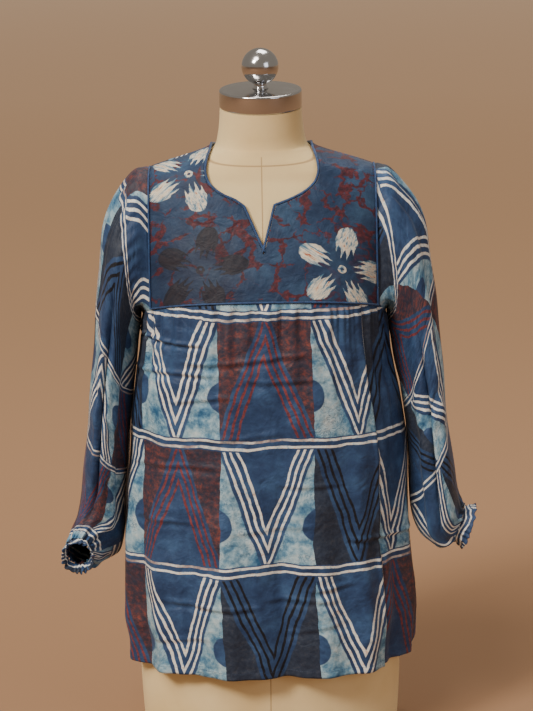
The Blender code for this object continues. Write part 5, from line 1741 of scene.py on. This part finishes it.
@dataclass(frozen=True)
class FlowerPrint(Finish):
    """Smooth viscose with branching brick-red stems and five-petalled flowers on slate blue."""

    name: str = "flower_printed_viscose"
    petal_reach: float = 0.0402
    petal_long: float = 0.0236
    petal_wide: float = 0.0154

    def flower(self, tree: bpy.types.NodeTree, place, centre: tuple[float, float], turn: float, size: float):
        """Masks of a flower's petals and of its small heart, and the brushed streaks in its petals.

        Args:
            tree: Node tree.
            place: Pattern coordinates.
            centre: Middle of the flower.
            turn: Angle of its first petal.
            size: Scale.

        Returns:
            The petals' mask, the heart's mask and the streaks' grain.
        """
        at = add_node(tree, "VectorMath", place, (*centre, 0.0), operation="SUBTRACT")
        split = add_node(tree, "SeparateXYZ", at, out="node")
        angle = add_node(tree, "Math", split.outputs[1], split.outputs[0], operation="ARCTAN2")
        angle = add_node(tree, "Math", angle, 2 * math.pi - turn + math.pi / 5, operation="ADD")
        angle = add_node(tree, "Math", angle, 2 * math.pi / 5, operation="FLOORED_MODULO")
        angle = add_node(tree, "Math", angle, math.pi / 5, operation="SUBTRACT")
        far = add_node(tree, "VectorMath", at, operation="LENGTH", out="Value")
        cosine = add_node(tree, "Math", angle, operation="COSINE")
        sine = add_node(tree, "Math", angle, operation="SINE")
        along = add_node(tree, "Math", far, cosine, operation="MULTIPLY")
        along = add_node(tree, "Math", along, self.petal_reach * size, operation="SUBTRACT")
        along = add_node(tree, "Math", along, 1 / (self.petal_long * size), operation="MULTIPLY")
        aside = add_node(tree, "Math", far, sine, operation="MULTIPLY")
        aside = add_node(tree, "Math", aside, 1 / (self.petal_wide * size), operation="MULTIPLY")
        teeth = add_node(tree, "Math", aside, 12.5, operation="MULTIPLY")
        teeth = add_node(tree, "Math", teeth, operation="COSINE")
        inner = add_node(tree, "Math", along, -1.0, operation="MULTIPLY")
        inner = add_node(tree, "Math", inner, 0.05, operation="SUBTRACT")
        inner = add_node(tree, "Math", inner, 0.0, operation="MAXIMUM")
        cut = add_node(tree, "Math", teeth, 0.62, 0.52, operation="MULTIPLY_ADD")
        cut = add_node(tree, "Math", cut, inner, operation="MULTIPLY")
        oval = add_node(tree, "CombineXYZ", along, aside)
        oval = add_node(tree, "VectorMath", oval, operation="LENGTH", out="Value")
        oval = add_node(tree, "Math", oval, cut, operation="ADD")
        petals = add_node(tree, "ValToRGB", oval, stops=[(0.0, grey(1)), (0.93, grey(1)), (1.0, grey(0))])
        heart = add_node(tree, "Math", far, 1 / (0.0062 * size), operation="MULTIPLY")
        heart = add_node(tree, "ValToRGB", heart, stops=[(0.0, grey(0)), (0.30, grey(0)), (0.42, grey(1)), (0.88, grey(1)), (1.0, grey(0))])
        long_way = add_node(tree, "Math", aside, 2.8, operation="MULTIPLY")
        brushed = add_node(tree, "CombineXYZ", along, long_way)
        apart = add_node(tree, "VectorMath", place, operation="SCALE", named={"Scale": 32.0})
        brushed = add_node(tree, "VectorMath", brushed, apart, operation="ADD")
        grain = add_node(tree, "TexNoise", brushed, named={"Scale": 1.5, "Detail": 4.0, "Roughness": 0.7})
        rim = add_node(tree, "Math", oval, 5.0, operation="POWER")
        grain = add_node(tree, "Math", rim, -0.12, grain, operation="MULTIPLY_ADD")
        return petals, heart, grain

    def stems(self, tree: bpy.types.NodeTree, place) -> bpy.types.NodeSocket:
        """Mask of the branching stems: a wandering net that thickens and breaks off."""
        wander = add_node(tree, "TexNoise", place, out="Color", named={"Scale": 55.0, "Detail": 3.0})
        wander = add_node(tree, "VectorMath", wander, (0.5, 0.5, 0.5), operation="SUBTRACT")
        wander = add_node(tree, "VectorMath", wander, operation="SCALE", named={"Scale": 0.030})
        bent = add_node(tree, "VectorMath", place, wander, operation="ADD")
        net = add_node(tree, "TexVoronoi", bent, feature="DISTANCE_TO_EDGE", named={"Scale": 29.0, "Randomness": 1.0})
        thick = add_node(tree, "TexNoise", place, named={"Scale": 30.0, "Detail": 2.0})
        thick = add_node(tree, "Math", thick, -0.52, 0.266, operation="MULTIPLY_ADD")
        edge = add_node(tree, "Math", net, thick, operation="ADD")
        return add_node(tree, "ValToRGB", edge, stops=[(0.034, grey(1)), (0.070, grey(0))])

    def colour(self, tree: bpy.types.NodeTree):
        """Printed colour of a place on the yoke."""
        place = add_node(tree, "UVMap", uv_map="cloth")
        noise = add_node(tree, "TexNoise", place, out="Color", named={"Scale": 120.0, "Detail": 2.0})
        shift = add_node(tree, "VectorMath", noise, (0.5, 0.5, 0.5), operation="SUBTRACT")
        shift = add_node(tree, "VectorMath", shift, operation="SCALE", named={"Scale": 0.0035})
        rough = add_node(tree, "VectorMath", place, shift, operation="ADD")
        cloud = add_node(tree, "TexNoise", place, named={"Scale": 18.0, "Detail": 5.0, "Roughness": 0.65})
        fine = add_node(tree, "TexNoise", place, named={"Scale": 170.0, "Detail": 3.0, "Roughness": 0.7})
        ground = add_node(tree, "ValToRGB", cloud, stops=[(0.34, "#1C3050"), (0.50, "#294162"), (0.66, "#375474")])
        red = add_node(tree, "ValToRGB", fine, stops=[(0.32, "#2E2433"), (0.50, "#512530"), (0.68, "#6E2D34")])
        base = add_node(tree, "MixRGB", self.stems(tree, place), ground, red)
        coal = [(0.35, "#1C2130"), (0.65, "#312D36")]
        cream = [(0.37, "#4F7C99"), (0.46, "#C4CCC8"), (0.52, "#EFE6D2"), (0.58, "#E2CDB2"), (0.64, "#B5654A")]
        around = add_node(tree, "VectorMath", rough, (0.104, 0.690, 0.0), operation="DISTANCE", out="Value")
        clear = add_node(tree, "ValToRGB", around, stops=[(0.018, grey(0.8)), (0.060, grey(0))])
        base = add_node(tree, "MixRGB", clear, base, ground)
        around = add_node(tree, "VectorMath", rough, (-0.083, 0.690, 0.0), operation="DISTANCE", out="Value")
        shade = add_node(tree, "ValToRGB", around, stops=[(0.030, grey(0.45)), (0.085, grey(0))])
        base = add_node(tree, "MixRGB", shade, base, linear("#241F2C"))
        for centre, turn, size, tone in (
            ((-0.083, 0.690), 1.35, 1.02, coal),
            ((0.104, 0.690), 0.16, 1.0, cream),
            ((-0.097, 0.836), 3.7, 0.98, cream),
        ):
            petals, heart, grain = self.flower(tree, rough, centre, turn, size)
            brushed = add_node(tree, "ValToRGB", grain, stops=tone)
            dotted = add_node(tree, "ValToRGB", fine, stops=tone)
            base = add_node(tree, "MixRGB", petals, base, brushed)
            base = add_node(tree, "MixRGB", heart, base, dotted)
        return base

    def dress(self, tree: bpy.types.NodeTree, shader: bpy.types.Node) -> None:
        """Soft sheen of smooth viscose over the printed flowers."""
        # Printed viscose again: the flowers and red stems set the yoke apart from the cloth below it.
        soft_cloth(tree, shader, self.colour(tree), 0.60)


@dataclass(frozen=True)
class PipingCloth(Finish):
    """Plain dyed cotton bias strip, folded round a cord."""

    name: str = "dyed_cotton_piping"

    def dress(self, tree: bpy.types.NodeTree, shader: bpy.types.Node) -> None:
        """Even blue with a faint thread pattern."""
        # Dyed cotton over a cord: a firm dark line that outlines the neckline and the yoke.
        place = add_node(tree, "TexCoord", out="Object")
        cloud = add_node(tree, "TexNoise", place, named={"Scale": 160.0, "Detail": 3.0})
        colour = add_node(tree, "ValToRGB", cloud, stops=[(0.35, "#16345F"), (0.65, "#22497A")])
        thread = add_node(tree, "TexNoise", place, named={"Scale": 1400.0, "Detail": 1.0})
        bump = add_node(tree, "Bump", named={"Strength": 0.3, "Distance": 0.0002, "Height": thread})
        tree.links.new(colour, shader.inputs["Base Color"])
        tree.links.new(bump, shader.inputs["Normal"])
        shader.inputs["Roughness"].default_value = 0.62
        shader.inputs["Sheen Weight"].default_value = 0.15


@dataclass(frozen=True)
class SewingThread(Finish):
    """Navy polyester sewing thread."""

    name: str = "navy_sewing_thread"

    def dress(self, tree: bpy.types.NodeTree, shader: bpy.types.Node) -> None:
        """Dark blue with the faint light and dark of a twisted thread."""
        # Twisted polyester thread: it draws the hems and the yoke's edge as fine broken lines.
        place = add_node(tree, "TexCoord", out="Object")
        twist = add_node(tree, "TexNoise", place, named={"Scale": 1800.0, "Detail": 1.0})
        colour = add_node(tree, "ValToRGB", twist, stops=[(0.35, "#16233C"), (0.65, "#2A3D60")])
        tree.links.new(colour, shader.inputs["Base Color"])
        shader.inputs["Roughness"].default_value = 0.5
        shader.inputs["Sheen Weight"].default_value = 0.1


@dataclass(frozen=True)
class FormLinen(Finish):
    """Tightly stretched natural linen with its seams at the neck and down the front."""

    name: str = "stretched_linen"

    def dress(self, tree: bpy.types.NodeTree, shader: bpy.types.Node) -> None:
        """Beige linen with slubs, seam lines and slight ageing towards the seams."""
        # Stretched natural linen: a quiet warm ground that lets the printed cloth stand out.
        place = add_node(tree, "TexCoord", out="Object")
        split = add_node(tree, "SeparateXYZ", place, out="node")
        x, y, z = split.outputs[0], split.outputs[1], split.outputs[2]
        cloud = add_node(tree, "TexNoise", place, named={"Scale": 9.0, "Detail": 4.0})
        colour = add_node(tree, "ValToRGB", cloud, stops=[(0.35, "#E6C990"), (0.65, "#F2D9A4")])
        middle = add_node(tree, "Math", x, operation="ABSOLUTE")
        middle = add_node(tree, "Math", middle, 250.0, operation="MULTIPLY")
        neck = add_node(tree, "Math", y, -0.338, -0.833, operation="MULTIPLY_ADD")
        neck = add_node(tree, "Math", z, neck, operation="ADD")
        neck = add_node(tree, "Math", neck, operation="ABSOLUTE")
        neck = add_node(tree, "Math", neck, 250.0, operation="MULTIPLY")
        above = add_node(tree, "Math", z, 0.822, operation="GREATER_THAN")
        middle = add_node(tree, "Math", middle, above, operation="ADD")
        seam = add_node(tree, "Math", middle, neck, operation="MINIMUM")
        line = add_node(tree, "ValToRGB", seam, stops=[(0.0, grey(1)), (0.12, grey(0.8)), (0.28, grey(0))])
        colour = add_node(tree, "MixRGB", line, colour, linear("#B6966A"))
        thread = add_node(tree, "TexNoise", place, named={"Scale": 900.0, "Detail": 2.0})
        dip = add_node(tree, "Math", line, -3.0, thread, operation="MULTIPLY_ADD")
        bump = add_node(tree, "Bump", named={"Strength": 0.4, "Distance": 0.0003, "Height": dip})
        tree.links.new(colour, shader.inputs["Base Color"])
        tree.links.new(bump, shader.inputs["Normal"])
        shader.inputs["Roughness"].default_value = 0.78
        shader.inputs["Sheen Weight"].default_value = 0.12


@dataclass(frozen=True)
class PolishedChrome(Finish):
    """Chromed steel, polished, with a little dust and handling."""

    name: str = "polished_chrome"

    def dress(self, tree: bpy.types.NodeTree, shader: bpy.types.Node) -> None:
        """Bright metal whose gloss varies faintly."""
        # Chromed steel: its sharp reflections are the only hard gloss beside soft cloth.
        place = add_node(tree, "TexCoord", out="Object")
        cloud = add_node(tree, "TexNoise", place, named={"Scale": 60.0, "Detail": 4.0})
        rough = add_node(tree, "ValToRGB", cloud, stops=[(0.35, grey(0.10)), (0.70, grey(0.22))])
        shader.inputs["Base Color"].default_value = linear("#C9CACC")
        shader.inputs["Metallic"].default_value = 1.0
        tree.links.new(rough, shader.inputs["Roughness"])


@dataclass(frozen=True)
class PaleFloor(Finish):
    """Pale seamless floor with painted shade near the form."""

    name: str = "pale_floor"

    def dress(self, tree: bpy.types.NodeTree, shader: bpy.types.Node) -> None:
        """Warm pale tone with painted shade: darker near the form and in front of it, lighter further behind."""
        # Matt painted floor: a warm ground with painted shade, darker near the form and lighter further behind it, and
        # nothing else to look at.
        place = add_node(tree, "TexCoord", out="Object")
        split = add_node(tree, "SeparateXYZ", place, out="node")
        # Painted shade: the tone ramps from dark brown in front of the form to pale far behind it.
        far = add_node(tree, "Math", split.outputs[1], 0.04, 0.10, operation="MULTIPLY_ADD")
        tone = add_node(tree, "ValToRGB", far, stops=[(0.06, "#8E6B4E"), (0.14, "#AA8463"), (0.26, "#C09A76"), (0.50, "#CFAC8B"), (0.98, "#D9BA9C")])
        tree.links.new(tone, shader.inputs["Base Color"])
        shader.inputs["Roughness"].default_value = 0.9


@dataclass
class Studio:
    """Floor, soft lights and camera."""

    eye: tuple[float, float, float] = (0.002, -2.93444, 1.16374)
    pitch: float = math.radians(12.0)
    roll: float = math.radians(1.0)
    lens: float = 110.07

    def camera(self) -> None:
        """Camera at the photograph's viewing angle."""
        data = bpy.data.cameras.new("camera")
        data.sensor_width = 36.0
        data.sensor_height = 36.0
        data.sensor_fit = "VERTICAL"
        data.lens = self.lens
        camera = bpy.data.objects.new("camera", data)
        turn = Matrix.Rotation(math.pi / 2 - self.pitch, 4, "X") @ Matrix.Rotation(-self.roll, 4, "Z")
        camera.matrix_world = Matrix.Translation(self.eye) @ turn
        bpy.context.scene.collection.objects.link(camera)
        bpy.context.scene.camera = camera

    def lamp(self, name: str, place: tuple[float, float, float], power: float, size: float, colour: str) -> None:
        """Add one square soft light that faces the tunic."""
        data = bpy.data.lights.new(name, "AREA")
        data.energy = power
        data.shape = "SQUARE"
        data.size = size
        data.color = linear(colour)[:3]
        lamp = bpy.data.objects.new(name, data)
        lamp.location = place
        aim = Vector((0.0, 0.0, 0.5)) - Vector(place)
        lamp.rotation_euler = aim.to_track_quat("-Z", "Y").to_euler()
        bpy.context.scene.collection.objects.link(lamp)

    def sun(self) -> None:
        """Add one very soft distant light that evens out the floor."""
        data = bpy.data.lights.new("sky", "SUN")
        data.energy = 1.35
        data.angle = math.radians(24)
        data.color = linear("#FFF4E8")[:3]
        lamp = bpy.data.objects.new("sky", data)
        lamp.rotation_euler = (math.radians(40), 0.0, math.radians(-34))
        bpy.context.scene.collection.objects.link(lamp)

    def floor(self, finish: bpy.types.Material) -> None:
        """Large pale floor under the form."""
        shape = bmesh.new()
        bmesh.ops.create_grid(shape, x_segments=8, y_segments=8, size=30.0)
        mesh = bpy.data.meshes.new("floor")
        shape.to_mesh(mesh)
        shape.free()
        mesh.materials.append(finish)
        floor = bpy.data.objects.new("floor", mesh)
        bpy.context.scene.collection.objects.link(floor)

    def build(self) -> None:
        """Set the world, floor, lights and camera."""
        world = bpy.data.worlds.new("studio")
        world.use_nodes = True
        back = world.node_tree.nodes["Background"]
        back.inputs[0].default_value = linear("#EADCCB")
        back.inputs[1].default_value = 0.36
        bpy.context.scene.world = world
        self.floor(PaleFloor().make())
        self.lamp("key", (-2.9, -3.2, 3.6), 190.0, 1.0, "#FFF6EA")
        self.lamp("fill", (2.8, -3.4, 1.8), 26.0, 1.8, "#F2F4FF")
        self.lamp("top", (0.3, 0.8, 3.0), 30.0, 1.2, "#FFF8F0")
        self.sun()
        self.camera()


def main() -> None:
    """Load the frame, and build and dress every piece."""
    logging.basicConfig(level=logging.INFO, format="%(message)s")
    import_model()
    print_cloth = BlockPrint().make()
    piping = PipingCloth().make()
    yoke, back = FrontYoke(), BackPanel()
    DressForm().build(FormLinen().make(), PolishedChrome().make())
    yoke.build(FlowerPrint().make())
    front = FrontPanel()
    front.build(print_cloth)
    back.build(print_cloth)
    left = Sleeve(
        lean_in=(
            (-0.06, 0.0), (0.00, 0.0035), (0.05, 0.0085), (0.12, 0.0087), (0.20, 0.0096), (0.30, 0.0095),
            (0.36, 0.0083), (0.41, 0.0064), (0.47, 0.0063), (0.53, 0.0069), (0.58, 0.0075), (0.64, 0.0086),
            (0.70, 0.0120), (0.76, 0.0130), (0.88, 0.0),
        ),
        node="sleeve_left", side=1, rings=LEFT_ARM_RINGS, pattern_turn=0.45, pattern_shift=(-0.273, 0.6835),
        long_folds=(
            Fold(1.62, 0.25, 0.95, 0.25, 0.13, -0.0105),
            Fold(1.20, 0.10, 0.80, -0.20, 0.20, 0.0045),
            Fold(0.75, 0.05, 0.65, 0.25, 0.16, -0.0040),
            Fold(2.10, 0.35, 0.98, 0.20, 0.18, 0.0050),
            Fold(4.40, 0.15, 0.90, -0.30, 0.22, -0.0070),
            Fold(5.10, 0.10, 0.75, 0.20, 0.20, 0.0045),
            Fold(3.70, 0.30, 0.95, 0.20, 0.20, 0.0050),
        ),
        cross_folds=(
            Fold(0.52, 0.60, 2.60, 0.05, 0.016, -0.0040),
            Fold(0.60, 0.40, 2.20, -0.05, 0.018, 0.0030),
            Fold(0.44, 1.20, 3.00, 0.06, 0.018, 0.0026),
            Fold(0.55, 3.40, 5.60, -0.05, 0.018, -0.0036),
        ),
    )
    right = Sleeve(
        lean_in=(
            (-0.06, 0.0), (0.00, 0.0035), (0.05, 0.0082), (0.12, 0.0082), (0.20, 0.0085), (0.30, 0.0096),
            (0.40, 0.0102), (0.50, 0.0106), (0.58, 0.0106), (0.64, 0.0096), (0.70, 0.0074), (0.76, 0.0063),
            (0.82, 0.0052), (0.90, 0.0),
        ),
        node="sleeve_right", side=-1, rings=RIGHT_ARM_RINGS, pattern_turn=math.pi + 0.08, pattern_shift=(0.318, 0.068),
        long_folds=(
            Fold(1.60, 0.20, 0.90, -0.20, 0.13, -0.0105),
            Fold(1.15, 0.12, 0.78, 0.20, 0.20, 0.0045),
            Fold(0.70, 0.05, 0.60, -0.20, 0.16, -0.0038),
            Fold(2.15, 0.30, 0.95, 0.20, 0.18, 0.0045),
            Fold(4.35, 0.15, 0.90, 0.30, 0.22, -0.0070),
            Fold(5.15, 0.10, 0.75, -0.20, 0.20, 0.0045),
            Fold(3.65, 0.30, 0.95, 0.20, 0.20, 0.0050),
        ),
        cross_folds=(
            Fold(0.50, 0.50, 2.60, 0.05, 0.016, -0.0040),
            Fold(0.58, 0.40, 2.20, -0.04, 0.018, 0.0030),
            Fold(0.66, 1.00, 2.80, 0.05, 0.018, -0.0030),
            Fold(0.52, 3.40, 5.60, 0.05, 0.018, -0.0036),
        ),
    )
    for sleeve in (left, right):
        sleeve.build(print_cloth)
        Cuff(node=sleeve.node.replace("sleeve", "cuff"), sleeve=sleeve).build(print_cloth)
    Piping(yoke, back).build(piping)
    stitch_rows(yoke, front, back, SewingThread().make())
    Studio().build()


if __name__ == "__main__":
    main()
